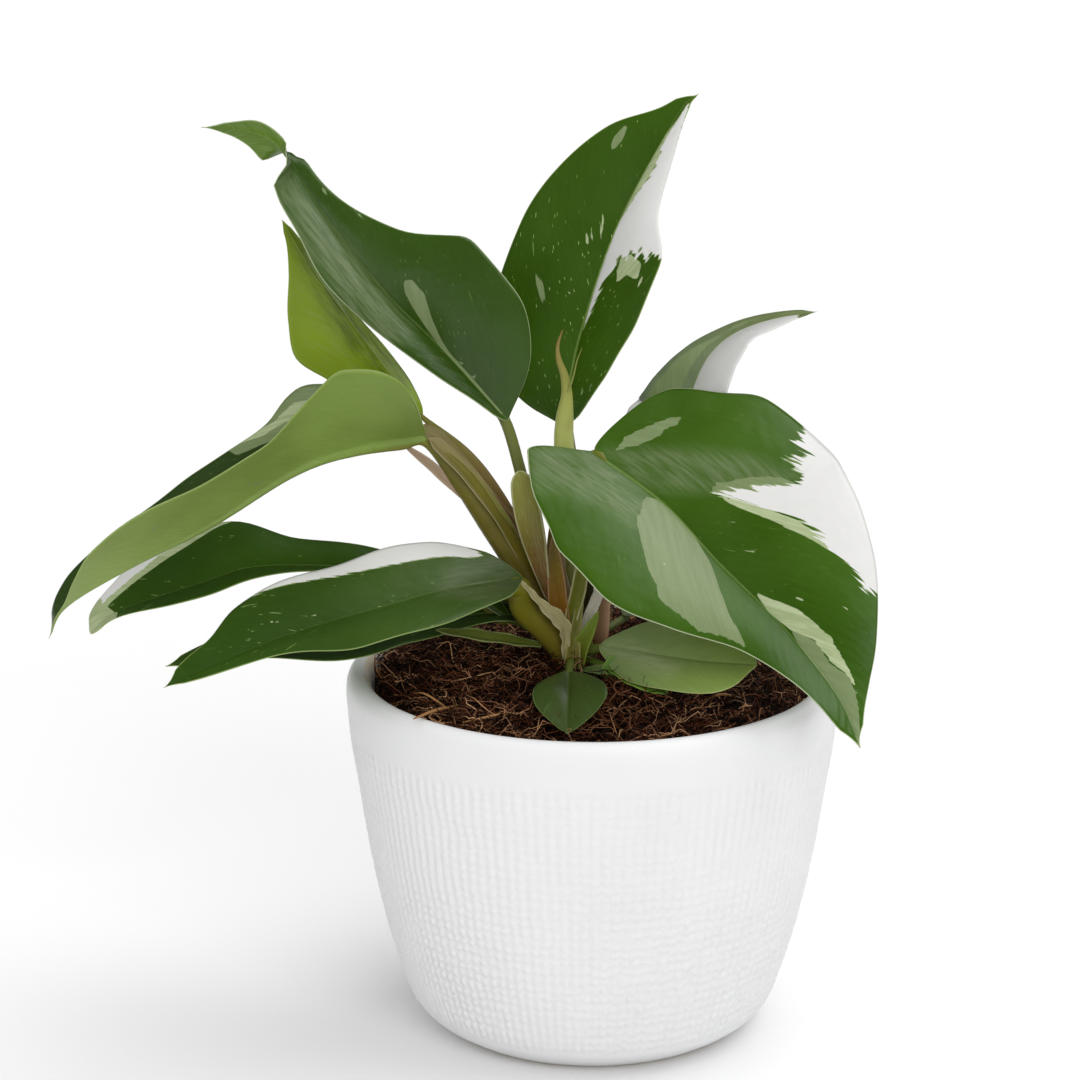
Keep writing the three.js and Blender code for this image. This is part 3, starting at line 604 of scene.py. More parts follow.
def patch_field(leaf, surface, patches):
    """The greatest distance inside any of the outlines, each a list of (along, across)."""
    u, length = surface["u"], surface["length"]
    flat = np.zeros(surface["grid"].shape[:2] + (2,))
    flat[..., 0] = np.sign(surface["signed"]) * surface["reach"]
    flat[..., 1] = (u * length)[:, None]
    widths = {side: soft_width(leaf, side, DENSE) for side in ("left", "right")}
    field = np.full(flat.shape[:2], FAR_OUTSIDE)
    for outline in patches:
        points = []
        for along, across in outline:
            width = np.interp(along, DENSE, widths["left" if across < 0 else "right"])
            points.append((across * width, along * length))
        if len(points) == 2:
            run = np.subtract(points[1], points[0])
            aside = np.array([-run[1], run[0]]) / np.linalg.norm(run) * FLECK_HALF_WIDTH
            middle = np.add(points[0], points[1]) / 2
            points = [points[0], middle + aside, points[1], middle - aside]
        field = np.maximum(field, distance_inside(flat, points))
    return field


# %% [markdown]
# What each leaf looks like. The greens are read from the photograph, and young leaves are yellower.
# Two points make a fleck, and more make a sector. A sector that runs off the leaf goes a little past 1. Some
# leaves also carry an outline where a grey sheen is painted into the colour, with its own tint; on the young
# left leaf that tint is dark, a painted shade.

# %% Leaf looks
LOOKS = {
    "upper_left": {
        "tint": (46, 72, 12), "under": (78, 106, 26), "edge_tint": (172, 186, 142), "wave": 0.5, "waves": 2,
        "arch": 0.09, "pleat": 0.12, "flecks": 0.25, "fray": 0.3, "rib": 0.3,
        # A grey sheen painted over the middle of the left half, beside the midrib.
        "painted_light": [[(0.78, -0.9), (0.72, -0.29), (0.636, -0.05), (0.536, 0.02), (0.417, -0.05), (0.31, -0.2),
            (0.3, -0.6), (0.33, -1.05), (0.434, -1.05), (0.613, -1.05), (0.723, -1.05)]],
        "grey": [[(0.4, 0.23), (0.387, 0.29), (0.342, 0.26), (0.288, 0.14), (0.237, 0.06), (0.205, 0.03),
            (0.113, 0.03), (0.02, 0.06), (0.02, -0.1), (0.104, -0.1), (0.167, -0.05), (0.232, 0),
            (0.336, 0.09), (0.376, 0.14)], [(0.61, 0.95), (0.54, 0.76)], [(0.69, 0.72), (0.66, 0.66)],
            [(0.187, 0.09), (0.159, 0.03)], [(0.14, 0.1), (0.116, 0.03)]]
    },
    "upper_back": {
        "tint": (48, 78, 4), "wave": 0.5, "waves": 2, "arch": 0.05, "pleat": 0.12, "rib": 0.7, "flecks": 1,
        "fray": 0.7,
        "white": [[(0.96, 0.5), (0.924, 0.46), (0.86, 0.2), (0.815, 0.18), (0.795, 0.36), (0.733, 0.32),
            (0.675, 0.17), (0.618, 0.07), (0.583, 0.01), (0.353, 0.01), (0.27, 0.04), (0.347, 0.1),
            (0.411, 0.13), (0.446, 0.26), (0.476, 0.24), (0.494, 0.29), (0.482, 0.43), (0.512, 0.45),
            (0.5, 0.58), (0.53, 0.62), (0.494, 0.78), (0.536, 0.78), (0.52, 0.9), (0.52, 1.15),
            (0.65, 1.15), (0.8, 1.15), (0.93, 1)]],
        "pale": [[(0.583, 0.01), (0.618, 0.07), (0.675, 0.17), (0.733, 0.32), (0.795, 0.36), (0.815, 0.18),
            (0.86, 0.2), (0.924, 0.46), (0.86, 0.01), (0.7, 0.01)], [(0.446, 0.32), (0.488, 0.31),
            (0.506, 0.45), (0.488, 0.7), (0.44, 0.74), (0.44, 0.64), (0.446, 0.52), (0.417, 0.41)],
            [(0.458, 0.8), (0.411, 0.8)], [(0.155, 0.78), (0.076, 0.78)], [(0.11, 0.58), (0.081, 0.54)],
            [(0.583, -0.2), (0.512, -0.1)], [(0.542, -0.27), (0.494, -0.17)], [(0.518, -0.27),
            (0.488, -0.21)], [(0.364, -0.26), (0.342, -0.18)]],
        "grey": [[(0.829, -0.8), (0.8, -0.64), (0.753, -0.56), (0.743, -0.62), (0.768, -0.72),
            (0.804, -0.78)], [(0.393, -0.64), (0.359, -0.52), (0.293, -0.41), (0.314, -0.5), (0.359, -0.6)]]
    },
    "right_back": {
        "tint": (104, 120, 92), "tint_tip": (96, 108, 66), "edge_tint": (92, 104, 72), "wave": 0.4,
        "waves": 2, "arch": 0.05, "pleat": 0.08, "flecks": 0.2, "fray": 0.35,
        "white": [[(0.2, 0.1), (0.2, 1.2), (0.35, 1.2), (0.5, 1.2), (0.65, 1.2), (0.8, 1.3), (0.9, 1.3),
            (0.92, 0.3), (0.8, 0.04), (0.6, 0.03), (0.4, 0.04)], [(0, -1.6), (0.18, -1.6), (0.2, -0.9),
            (0.22, -0.76), (0.18, -0.6), (0.12, -0.2), (0, 0)]],
        "grey": [[(0.2, -0.86), (0.3, -0.85), (0.42, -0.8), (0.54, -0.6), (0.62, -0.35), (0.5, -0.3),
            (0.4, -0.25), (0.3, -0.2), (0.2, -0.3)], [(0.78, -0.5), (0.6, -0.4)]]
    },
    "large_right": {
        "tint": (53, 85, 5), "tint_tip": (49, 82, 5), "edge_tint": (196, 206, 168), "wave": 0.7,
        "waves": 2.3, "arch": 0.07, "pleat": 0.26, "rib": 0.5, "flecks": 0.2, "fray": 1,
        # A grey sheen painted near the base, on both halves.
        "painted_light": [[(0, 1.05), (0, 0.05), (0.087, 0.05), (0.2, 0.15), (0.24, 0.38), (0.15, 0.5),
            (0.092, 0.7), (0.07, 1.05)], [(0.034, -0.09), (0.089, -0.23), (0.196, -0.39), (0.288, -0.6),
            (0.37, -0.68), (0.325, -0.48), (0.272, -0.26), (0.196, -0.07), (0.113, -0.02)]],
        "white": [[(0.27, -1.15), (0.282, -1), (0.298, -0.85), (0.336, -0.87), (0.309, -0.74),
            (0.347, -0.78), (0.343, -0.71), (0.376, -0.75), (0.393, -0.68), (0.277, -0.23), (0.336, -0.34),
            (0.417, -0.45), (0.482, -0.54), (0.548, -0.62), (0.589, -0.66), (0.658, -0.78), (0.691, -0.8),
            (0.712, -0.98), (0.72, -1.15), (0.6, -1.2), (0.45, -1.2), (0.33, -1.2)]],
        "pale": [[(0.27, -0.22), (0.33, -0.28), (0.4, -0.36), (0.482, -0.46), (0.548, -0.56), (0.6, -0.67),
            (0.56, -0.64), (0.482, -0.54), (0.417, -0.45), (0.336, -0.34)], [(0.536, -0.03), (0.589, -0.08),
            (0.641, -0.18), (0.691, -0.23), (0.738, -0.32), (0.782, -0.34), (0.833, -0.45), (0.88, -0.55),
            (0.845, -0.43), (0.791, -0.2), (0.723, -0.15), (0.669, -0.03), (0.6, 0.01)], [(0.4, 0.45),
            (0.434, 0.58)], [(0.359, 0.42), (0.38, 0.44)], [(0.325, -0.14), (0.411, -0.29)], [(0.44, -0.15),
            (0.476, -0.23)], [(0.613, -0.21), (0.636, -0.27)], [(0.697, -0.56), (0.71, -0.6)]],
        "grey": [[(0.393, -0.68), (0.387, -0.5), (0.331, -0.36), (0.277, -0.23), (0.267, -0.29),
            (0.288, -0.39), (0.314, -0.52), (0.347, -0.62)], [(0.183, 0.08), (0.205, 0.01), (0.262, 0),
            (0.336, 0), (0.422, 0.09), (0.488, 0.26), (0.566, 0.52), (0.601, 0.66), (0.66, 0.9),
            (0.601, 0.87), (0.548, 0.91), (0.494, 0.82), (0.452, 0.76), (0.428, 0.72), (0.405, 0.62),
            (0.359, 0.56), (0.288, 0.45), (0.242, 0.37), (0.218, 0.26)], [(0.669, -0.03), (0.723, -0.15),
            (0.791, -0.17), (0.845, -0.43), (0.919, -0.65), (0.99, -0.4), (0.99, 0), (0.86, 0.02),
            (0.78, 0.03), (0.718, 0.01)], [(0.042, -0.14), (0.04, -0.31), (0.056, -0.43), (0.079, -0.54),
            (0.092, -0.62), (0.113, -0.66), (0.119, -0.6), (0.113, -0.54), (0.101, -0.48), (0.107, -0.43),
            (0.089, -0.34), (0.081, -0.27), (0.06, -0.21)]]
    },
    "long_left": {
        "tint": (42, 62, 22), "under": (118, 142, 62), "under_tip": (118, 138, 68), "flecks": 0.3,
        "wave": 0.3, "waves": 2, "arch": 0.03, "pleat": 0.1, "rib": 0.3,
        "pale": [[(0.2, 0.74), (0.267, 0.7), (0.33, 0.84), (0.4, 1.05), (0.36, 1.1), (0.3, 0.9),
            (0.24, 0.84)]],
        # Its first grey outline, at the base of the right half, is a painted sheen, not a sector.
        "grey": [[(0, 1.3), (0.08, 1.3), (0.14, 1.3), (0.2, 1.3), (0.26, 1.3), (0.36, 1.3), (0.41, 1),
            (0.4, 0.8), (0.3, 0.6), (0, 0.2)], [(0.45, -0.4), (0.36, -0.12)], [(0.7, -0.57), (0.63, -0.5)]]
    },
    "young_left": {
        "tint": (120, 142, 14), "under": (122, 146, 12), "edge_tint": (130, 150, 40), "flecks": 0,
        # The dark outline tint here paints shade over most of the left half.
        "wave": 0.3, "waves": 1.5, "arch": 0.08, "pleat": 0, "rib": 0, "painted_light_tint": (36, 60, 4),
        "painted_light": [[(0.95, -1.2), (0.3, -1.2), (0.15, -1.2), (0.15, 0.1), (0.3, 0.3), (0.42, 0.25),
            (0.524, 0.2), (0.675, 0.15), (0.829, 0.2), (0.95, 0.4)]]
    },
    "middle_left": {
        "tint": (44, 72, 10), "flecks": 0.7, "fray": 0.16, "wave": 0.6, "waves": 2.5, "arch": 0.08,
        "pleat": 0.16,
        "white": [[(0.64, 1.3), (0.67, 0.96), (0.72, 0.82), (0.8, 0.68), (0.874, 0.6), (0.94, 0.62),
            (0.94, 1.3), (0.86, 1.3), (0.75, 1.3)]],
        "pale": [[(0.6, 1.3), (0.62, 1), (0.68, 0.78), (0.786, 0.56), (0.874, 0.46), (0.95, 0.32),
            (0.95, 0.62), (0.874, 0.62), (0.8, 0.7), (0.72, 0.86), (0.68, 1.3)], [(0.93, 1.3), (0.935, 0.3),
            (0.92, -0.4), (0.93, -1.2), (1.02, -1.2), (1.02, 1.3)]]
    },
    "low_left": {
        "tint": (54, 76, 26), "tint_tip": (44, 72, 14), "wave": 0.6, "waves": 3.2, "arch": 0.05,
        # A grey sheen painted over the base of the blade.
        "pleat": 0.14, "rib": 0.14, "flecks": 0.6, "fray": 0.35, "painted_light_tint": (94, 104, 76),
        "painted_light": [[(0, 1), (0, -1), (0.136, -0.9), (0.25, -0.2), (0.2, 0.3), (0.12, 0.6), (0.05, 1)]],
        "white": [[(0.76, 1.2), (0.45, 1.2), (0.14, 1.2), (0.08, 0.8), (0.1, 0.68), (0.22, 0.64),
            (0.3, 0.62), (0.43, 0.72), (0.55, 0.82), (0.65, 0.93)]],
        "pale": [[(0.7, 0.37), (0.64, 0.22)], [(0.5, 0.58), (0.475, 0.54)], [(0.59, 0.2), (0.55, 0.14)]]
    },
    "low_left_under": {
        "tint": (44, 70, 16), "wave": 0.4, "pleat": 0.12
    },
    "small_right": {
        "tint": (118, 138, 84), "tint_tip": (122, 144, 70), "edge_tint": (188, 198, 130), "flecks": 0.15,
        "wave": 0.3, "waves": 1.5, "pleat": 0.06, "arch": 0.1, "rib": 0.1, "dull": 0.08,
        # The pale outline tint here paints a grey highlight along the midrib, in the base half.
        "painted_light_tint": (170, 178, 140),
        "painted_light": [[(0.02, -0.2), (0.175, -0.15), (0.382, 0.1), (0.56, 0.35), (0.56, 0.6), (0.405, 0.5),
            (0.196, 0.35), (0.03, 0.25)]]
    },
    "small_right_under": {
        "tint": (96, 134, 40), "edge_tint": (150, 178, 90), "wave": 0.3, "pleat": 0.05
    },
    "small_back": {
        "tint": (104, 116, 92), "wave": 0.2, "pleat": 0.08
    },
    "small_front": {
        "tint": (54, 72, 28), "edge_tint": (110, 130, 70), "wave": 0.2, "waves": 1, "pleat": 0.04,
        "arch": 0.1, "rib": 0.15, "flecks": 0.2
    },
}
USUAL_GRID = (110, 26)
GRIDS = {
    "large_right": (150, 34), "small_right": (70, 16), "small_right_under": (30, 8), "small_back": (40, 10),
    "small_front": (50, 16), "low_left_under": (70, 16), "young_left": (80, 20),
}
variegated = [name for name, look in LOOKS.items() if "white" in look or "grey" in look]
print("leaves with white or grey sectors:", variegated)

# %% [markdown]
# Waxy leaf tissue: a thin gloss over green. Colour is layered in this order: green, faint side veins, pale
# flecks, a painted grey sheen in streaks where a leaf has an outline for it (a painted dark shade on the
# young left leaf), grey green sectors, white sectors, then the pale midrib and the translucent rim. Where a
# sector ends, its edge frays along the veins, because each vein's cells grew as one line.

# %% Leaf material
def streak_space(tree, phase, reach, across, along):
    """A flat space whose cells are stretched along the side veins."""
    return join_xyz(tree, times(tree, phase, across), times(tree, reach, along))


def flecks(tree, place, share, size):
    """Small blots in some cells of a flat pattern: the share that has one, and its size in cells."""
    cells = add_node(tree, "ShaderNodeTexVoronoi", {"Vector": place, "Scale": 1.0}, voronoi_dimensions="2D")
    draw = split_xyz(tree, cells.outputs["Color"])[0]
    radius = ramp(tree, draw, 1 - share, 1.0, 0.0, size)
    return maths(tree, "LESS_THAN", cells.outputs["Distance"], radius)


FINGER_LENGTH = 8.0
FRINGE_LENGTH = 1.6
# The most of the painted sheen tint that goes into the colour.
PAINTED_LIGHT_STRENGTH = 0.62


def leaf_material():
    material, tree, shader = start_material("waxy_leaf", Specular_IOR_Level=0.35)
    phase, reach, edge = split_xyz(tree, read_attribute(tree, "vein", "Vector"))
    in_white, in_pale, in_grey = split_xyz(tree, read_attribute(tree, "patch", "Vector"))
    rib_strength, rib_width, dullness = split_xyz(tree, read_attribute(tree, "rib", "Vector"))
    # The last of these is the distance inside the painted sheen outline.
    fleck_share, raggedness, painted_light = split_xyz(tree, read_attribute(tree, "habit", "Vector"))
    upper = read_attribute(tree, "upper", "Fac")
    tint = read_attribute(tree, "tint", "Color")
    place = object_place(tree)

    streak = streak_space(tree, phase, reach, 1.0, 0.15)
    fingers = minus(tree, noise(tree, streak, 0.4, 2.0, 0.5), 0.5)
    fringe = minus(tree, noise(tree, streak, 1.7, 2.0), 0.5)
    fray = plus(tree, times(tree, fingers, FINGER_LENGTH), times(tree, fringe, FRINGE_LENGTH))
    ends_at_midrib = ramp(tree, reach, 0.3, 4.0, 0.12, 1.0)
    fray = times(tree, times(tree, fray, raggedness), ends_at_midrib)

    def sector(field, frayed, shift=0.0):
        ragged = plus(tree, field, times(tree, fray, frayed))
        return ramp(tree, plus(tree, ragged, shift), -0.1, 0.1)

    lines = noise(tree, streak, 1.6, 2.0)
    cloud = ramp(tree, noise(tree, place, 30, 2.0), 0.3, 0.7, 0.86, 1.12)
    shade = times(tree, cloud, ramp(tree, lines, 0.3, 0.7, 0.94, 1.07))
    side_vein = maths(tree, "PINGPONG", maths(tree, "DIVIDE", phase, VEIN_PITCH), 0.5)
    vein_line = ramp(tree, side_vein, 0.0, 0.08, 0.07, 0.0)
    shade = plus(tree, shade, vein_line)
    green = scaled(tree, tint, shade)
    below = mix_colour(tree, ramp(tree, lines, 0.42, 0.75, 0.0, 0.4), read_attribute(tree, "under", "Color"),
                       srgb(136, 156, 88))
    below = mix_colour(tree, vein_line, scaled(tree, below, cloud), srgb(70, 96, 30))
    flesh = mix_colour(tree, upper, below, green)

    short = flecks(tree, streak_space(tree, phase, reach, 0.55, 0.15), 0.05, 0.13)
    dots = flecks(tree, streak_space(tree, phase, reach, 1.25, 1.0), 0.05, 0.26)
    clustered = ramp(tree, noise(tree, place, 45, 1.0), 0.4, 0.6, 0.2, 1.0)
    speckle = times(tree, maths(tree, "MAXIMUM", short, dots), clustered)
    speckle = times(tree, speckle, fleck_share)
    flesh = mix_colour(tree, speckle, flesh, srgb(150, 176, 104))

    # Painted sheen: inside the leaf's outline for it, the colour is pulled in streaks towards a grey sheen
    # tint; on the young left leaf the tint is dark green, a painted shade.
    lengthwise = plus(tree, phase, times(tree, reach, VEIN_ASCENT))
    painted_light_noise = noise(tree, streak_space(tree, reach, lengthwise, 0.9, 0.09), 1.0, 3.0, 0.6)
    painted_light_streaks = ramp(tree, painted_light_noise, 0.32, 0.68, 0.25, 1.0)
    painted_light_share = times(tree, ramp(tree, painted_light, -4.0, 3.0, 0.0, PAINTED_LIGHT_STRENGTH), painted_light_streaks)
    flesh = mix_colour(tree, painted_light_share, flesh, read_attribute(tree, "painted_light_tint", "Color"))

    mottle = ramp(tree, noise(tree, streak_space(tree, phase, reach, 0.35, 0.1), 1.0, 3.0, 0.6), 0.35, 0.65)
    grey = mix_colour(tree, mottle, srgb(108, 124, 82), srgb(116, 131, 90))
    pale = mix_colour(tree, mottle, srgb(144, 158, 114), srgb(166, 177, 138))
    white = mix_colour(tree, ramp(tree, lines, 0.3, 0.8), srgb(208, 207, 206), srgb(203, 203, 199))
    colour = mix_colour(tree, sector(in_grey, 0.24), flesh, grey)
    colour = mix_colour(tree, sector(in_pale, 0.22), colour, pale)
    half_way = sector(in_white, 1.0, 0.35)
    colour = mix_colour(tree, times(tree, half_way, 0.6), colour, srgb(150, 168, 116))
    whiteness = sector(in_white, 1.0)
    colour = mix_colour(tree, whiteness, colour, white)

    narrow = times(tree, rib_width, 0.45)
    line = times(tree, ramp(tree, reach, narrow, rib_width, 1.0, 0.0), rib_strength)
    colour = mix_colour(tree, line, colour, mix_colour(tree, 0.45, tint, srgb(150, 172, 92)))
    rim = ramp(tree, edge, 0.16, 0.34, 0.65, 0.0)
    rim = times(tree, rim, minus(tree, 1.0, times(tree, whiteness, 0.85)))
    colour = mix_colour(tree, rim, colour, read_attribute(tree, "edge_tint", "Color"))
    tree.links.new(colour, shader.inputs["Base Color"])

    wax = ramp(tree, noise(tree, place, 60, 2.0), 0.3, 0.7, 0.28, 0.38)
    tree.links.new(plus(tree, wax, dullness), shader.inputs["Roughness"])
    relief = plus(tree, times(tree, noise(tree, place, 1500, 2.0), 0.25),
                   times(tree, noise(tree, streak, 3.0, 1.0), 0.6))
    relief = plus(tree, relief, times(tree, noise(tree, place, 110, 2.0), 12.0))
    bump(tree, shader, relief, 0.0001, 0.35)
    return material


LEAF = leaf_material()
print("leaf material nodes:", len(LEAF.node_tree.nodes))

# %% [markdown]
# The two faces of a blade share their margin. The upper face sinks at the midrib, and the lower one
# carries a keel that thins from the stalk's thickness at the base to nothing at the tip.

# %% Blade mesh
BLADE_HALF = 0.24
KEEL_TIP = 0.2
RIB_WIDTH = 0.45
# The last default colour is the grey of the painted sheen.
USUAL_TINTS = {"tint": (44, 74, 14), "under": (92, 116, 56), "edge_tint": (150, 168, 104),
               "painted_light_tint": (112, 124, 90)}


def colour_along(look, key, default, u, shape):
    """The leaf's colour, which may change from its base to its tip, for every point of its grid."""
    start = np.array(srgb(*look.get(key, default)))
    stop = np.array(srgb(*look.get(key + "_tip", look.get(key, default))))
    share = ramp_array(u, 0.1, 0.9)[:, None, None]
    return (start * (1 - share) + stop * share) * np.ones(shape + (4,))


def blade(name, leaf, look, keel, rows, half, seed, thickness=BLADE_HALF, lengthwise=False):
    """A closed blade with a keel below and its looks on its points; lengthwise turns its streaks along it."""
    surface = blade_surface(leaf, rows, half, look)
    grid, reach, edge = surface["grid"], surface["reach"], surface["edge"]
    normal = unit(np.cross(np.gradient(grid, axis=1), np.gradient(grid, axis=0)))
    u = surface["u"][:, None]
    keel_radius = keel * (1 - u) ** 1.2 + KEEL_TIP * (1 - u)
    ratio = np.clip(reach / np.maximum(keel_radius, 1e-6), 0, 1)
    bulge = keel_radius * np.sqrt(1 - ratio**2) * 0.8
    bulge += keel_radius * 0.3 * np.exp(-(reach / (keel_radius + 0.1)) ** 2)
    groove = (0.14 + 0.1 * keel_radius) * np.exp(-(reach / (0.4 + 0.25 * keel_radius)) ** 2)
    half_thick = thickness * (0.35 + 0.65 * ramp_array(edge, 0, 1.2))
    top = grid + normal * (half_thick - groove)[..., None]
    bottom = grid - normal * (half_thick + bulge * ramp_array(edge, 0, 1.5))[..., None]

    shape = grid.shape[:2]
    count, columns = shape[0] * shape[1], shape[1]
    upper_faces = grid_faces(shape[0], columns)
    lower_faces = upper_faces[:, ::-1] + count
    rim = np.r_[np.arange(columns), np.arange(1, shape[0]) * columns + columns - 1,
                (shape[0] - 1) * columns + np.arange(columns - 2, -1, -1),
                np.arange(shape[0] - 2, 0, -1) * columns]
    onward = np.roll(rim, -1)
    rim_faces = np.stack([rim, rim + count, onward + count, onward], axis=1)
    faces = np.vstack([upper_faces, lower_faces, rim_faces])

    along = u * surface["length"] + 0 * reach
    full = reach + edge
    share = reach / full
    phase = along - VEIN_ASCENT * reach - VEIN_CURVE * full * share**3 + seed
    run = reach
    if lengthwise:
        phase, run = surface["signed"][None, :] * full * 2 + seed, along
    fields = [patch_field(leaf, surface, look.get(kind, [])) for kind in ("white", "pale", "grey")]
    rib_strength = look.get("rib", 0.6) * (1 - 0.5 * u) + 0 * reach
    rib_width = RIB_WIDTH * (1.5 - u) + 0 * reach

    def both(values):
        return np.concatenate([values.reshape(count, -1)] * 2)

    attributes = {
        "vein": both(np.stack([phase, run, edge * look.get("rim_scale", 1)], axis=-1)),
        "patch": both(np.stack(fields, axis=-1)),
        "rib": both(np.stack([rib_strength, rib_width, look.get("dull", 0.0) + 0 * reach], axis=-1)),
        # habit holds the fleck share, the raggedness and the distance inside the painted sheen outline.
        "habit": both(np.stack([look.get("flecks", 0.5) + 0 * reach, look.get("fray", 0.6) + 0 * reach,
                                patch_field(leaf, surface, look.get("painted_light", []))], axis=-1)),
        "upper": np.r_[np.ones(count), np.zeros(count)],
    }
    for key, default in USUAL_TINTS.items():
        attributes[key] = both(colour_along(look, key, default, surface["u"], shape))
    places = np.concatenate([top.reshape(-1, 3), bottom.reshape(-1, 3)]) * MM
    return make_piece(name, places, faces[:, ::-1], material=LEAF, attributes=attributes)


print("a blade is", 2 * BLADE_HALF, "mm thick")

# %% [markdown]
# Every leaf goes through the same function. Its keel is a share of the stalk's last radius, and its seed
# shifts the veins and flecks, so that no two leaves share a pattern. Large leaves get a finer grid.

# %% Build the blades
KEEL_SHARE = 0.6
LEAF_SEED_STEP = 37.0
for order, (name, leaf) in enumerate(LEAVES.items()):
    rows, half = GRIDS.get(name, USUAL_GRID)
    keel = leaf.get("blade_keel", leaf["radii"][-1]) * KEEL_SHARE
    piece = blade(f"leaf_{name}", leaf, LOOKS[name], keel, rows, half, LEAF_SEED_STEP * order)
    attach(piece, "root")
    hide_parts(f"blade_{name}")
    print(piece.name, len(piece.data.polygons), "faces")

# %% [markdown]
# Sheaths wrapped each leaf before it opened. They are thicker and stiffer than a blade, striped along
# their length, and dry to pinkish brown with a pale edge, so they are made as small blades whose streaks
# run lengthwise.

# %% Build the sheaths
SHEATH_KEEL = 0.2
SHEATH_HALF = 0.3
SHEATH_SEED = 500
SHEATH_LOOKS = {
    "sheath_front": {
        "tint": (104, 68, 34), "tint_tip": (122, 120, 46), "under": (108, 68, 36),
        "under_tip": (124, 122, 46), "edge_tint": (196, 194, 152), "rim_scale": 0.4, "wave": 0, "pleat": 0,
        "arch": 0, "rib": 0, "dull": 0.1
    },
    "sheath_long_left": {
        "tint": (116, 84, 50), "under": (116, 82, 48), "under_tip": (118, 104, 62),
        "edge_tint": (176, 150, 118), "rim_scale": 0.6, "wave": 0.2, "pleat": 0, "rib": 0, "dull": 0.1
    },
    "sheath_low_left": {
        "tint": (82, 92, 34), "under": (80, 92, 32), "edge_tint": (150, 160, 104), "rim_scale": 0.6,
        "wave": 0.3, "pleat": 0, "rib": 0
    },
}
for order, (name, sheath) in enumerate(SHEATHS.items()):
    piece = blade(f"{name}_scale", sheath, SHEATH_LOOKS[name], SHEATH_KEEL, 60, 12,
                  SHEATH_SEED + 41.0 * order, SHEATH_HALF, lengthwise=True)
    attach(piece, "root")
    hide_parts(name)
    print(piece.name, len(piece.data.polygons), "faces")

# %% [markdown]
# Stalks are round, firm and follow a path, which is the work that sweeping a circle along a curve was
# made for. The path goes in as a string of points that carry their own radius and colour, and the tree
# sweeps a circle along them. The stalk ends under its blade, where the keel takes over.

# %% Stalk material
OLIVE_SHARE = 0.146


def stalk_material():
    material, tree, shader = start_material("green_stalk", Roughness=0.42, Specular_IOR_Level=0.3)
    tint = read_attribute(tree, "tint", "Color")
    blotch = noise(tree, object_place(tree), 90, 3.0)
    colour = mix_colour(tree, OLIVE_SHARE, tint, srgb(126, 128, 52))
    colour = mix_colour(tree, ramp(tree, blotch, 0.45, 0.8, 0.0, 0.35), colour, srgb(74, 54, 16))
    tree.links.new(colour, shader.inputs["Base Color"])
    bump(tree, shader, noise(tree, object_place(tree), 900, 2.0), 0.0001, 0.5)
    return material


STALK = stalk_material()
print("stalk material nodes:", len(STALK.node_tree.nodes))

# %% [markdown]
# The tree turns the string of points into a curve and draws a circle along it, scaled at each point by
# its radius.

# %% Stalk tree
def stalk_tree():
    tree, given = start_tree("sweep_stalk", Sides=20, Material=STALK)
    curve = shape_node(tree, "MeshToCurve", Mesh=given["Geometry"])
    circle = shape_node(tree, "CurvePrimitiveCircle", Resolution=given["Sides"], Radius=1.0)
    swept = shape_node(tree, "CurveToMesh", Curve=curve, Profile_Curve=circle,
                       Scale=read_named(tree, "radius"), Fill_Caps=True)
    end_tree(tree, swept, given["Material"])
    return tree


SWEEP = stalk_tree()


def swept_piece(name, course, colours, steps=60):
    """Sweeps a stalk along points of x, y, z and radius in millimetres, with colours eased along it."""
    points, length = smooth_path(course, steps)
    u = np.linspace(0, 1, steps + 1)
    tint = np.array([srgb(*colour) for colour in colours])
    shade = np.stack([np.interp(u, np.linspace(0, 1, len(tint)), tint[:, c]) for c in range(4)], axis=1)
    edges = [(i, i + 1) for i in range(steps)]
    attributes = {"radius": points[:, 3] * MM, "tint": shade}
    piece = make_piece(name, points[:, :3] * MM, edges=edges, attributes=attributes)
    grow(piece, SWEEP, Material=STALK)
    return piece, length


print("sweep tree nodes:", len(SWEEP.nodes))

# %% [markdown]
# Colours run along each stalk: brownish near the crown, where old sheaths scarred it, and olive green
# above.

# %% Stalk colours and courses
STALK_COLOURS = {
    "upper_left": [(108, 104, 40), (100, 106, 56), (98, 106, 54), (78, 106, 26)],
    "upper_back": [(110, 96, 50), (112, 112, 58), (96, 108, 48)],
    "right_back": [(186, 140, 112), (182, 142, 106), (110, 120, 62)],
    "large_right": [(112, 84, 14), (116, 84, 6), (96, 96, 26), (70, 100, 20), (64, 96, 14)],
    "long_left": [(78, 60, 12), (88, 74, 12), (98, 90, 24), (104, 102, 36), (116, 138, 60), (118, 142, 62)],
    "young_left": [(118, 100, 60), (124, 92, 62), (112, 104, 50), (122, 146, 14)],
    "middle_left": [(96, 100, 40), (96, 104, 40)],
    "low_left": [(112, 92, 34), (112, 106, 20), (122, 128, 16), (70, 92, 26)],
    "low_left_under": [(96, 104, 44), (92, 108, 44)],
    "small_right": [(90, 104, 40), (96, 116, 50)],
    "small_right_under": [(92, 120, 44), (84, 112, 40)],
    "small_back": [(104, 116, 60), (100, 116, 66)],
    "small_front": [(96, 112, 40), (70, 92, 36)],
}
KEEL_RUN = ((0, 1), (0.06, 0.8), (0.15, 0.55), (0.28, 0.28), (0.4, 0.12))
KEEL_SINK = 0.35
KEEL_STEPS = 50


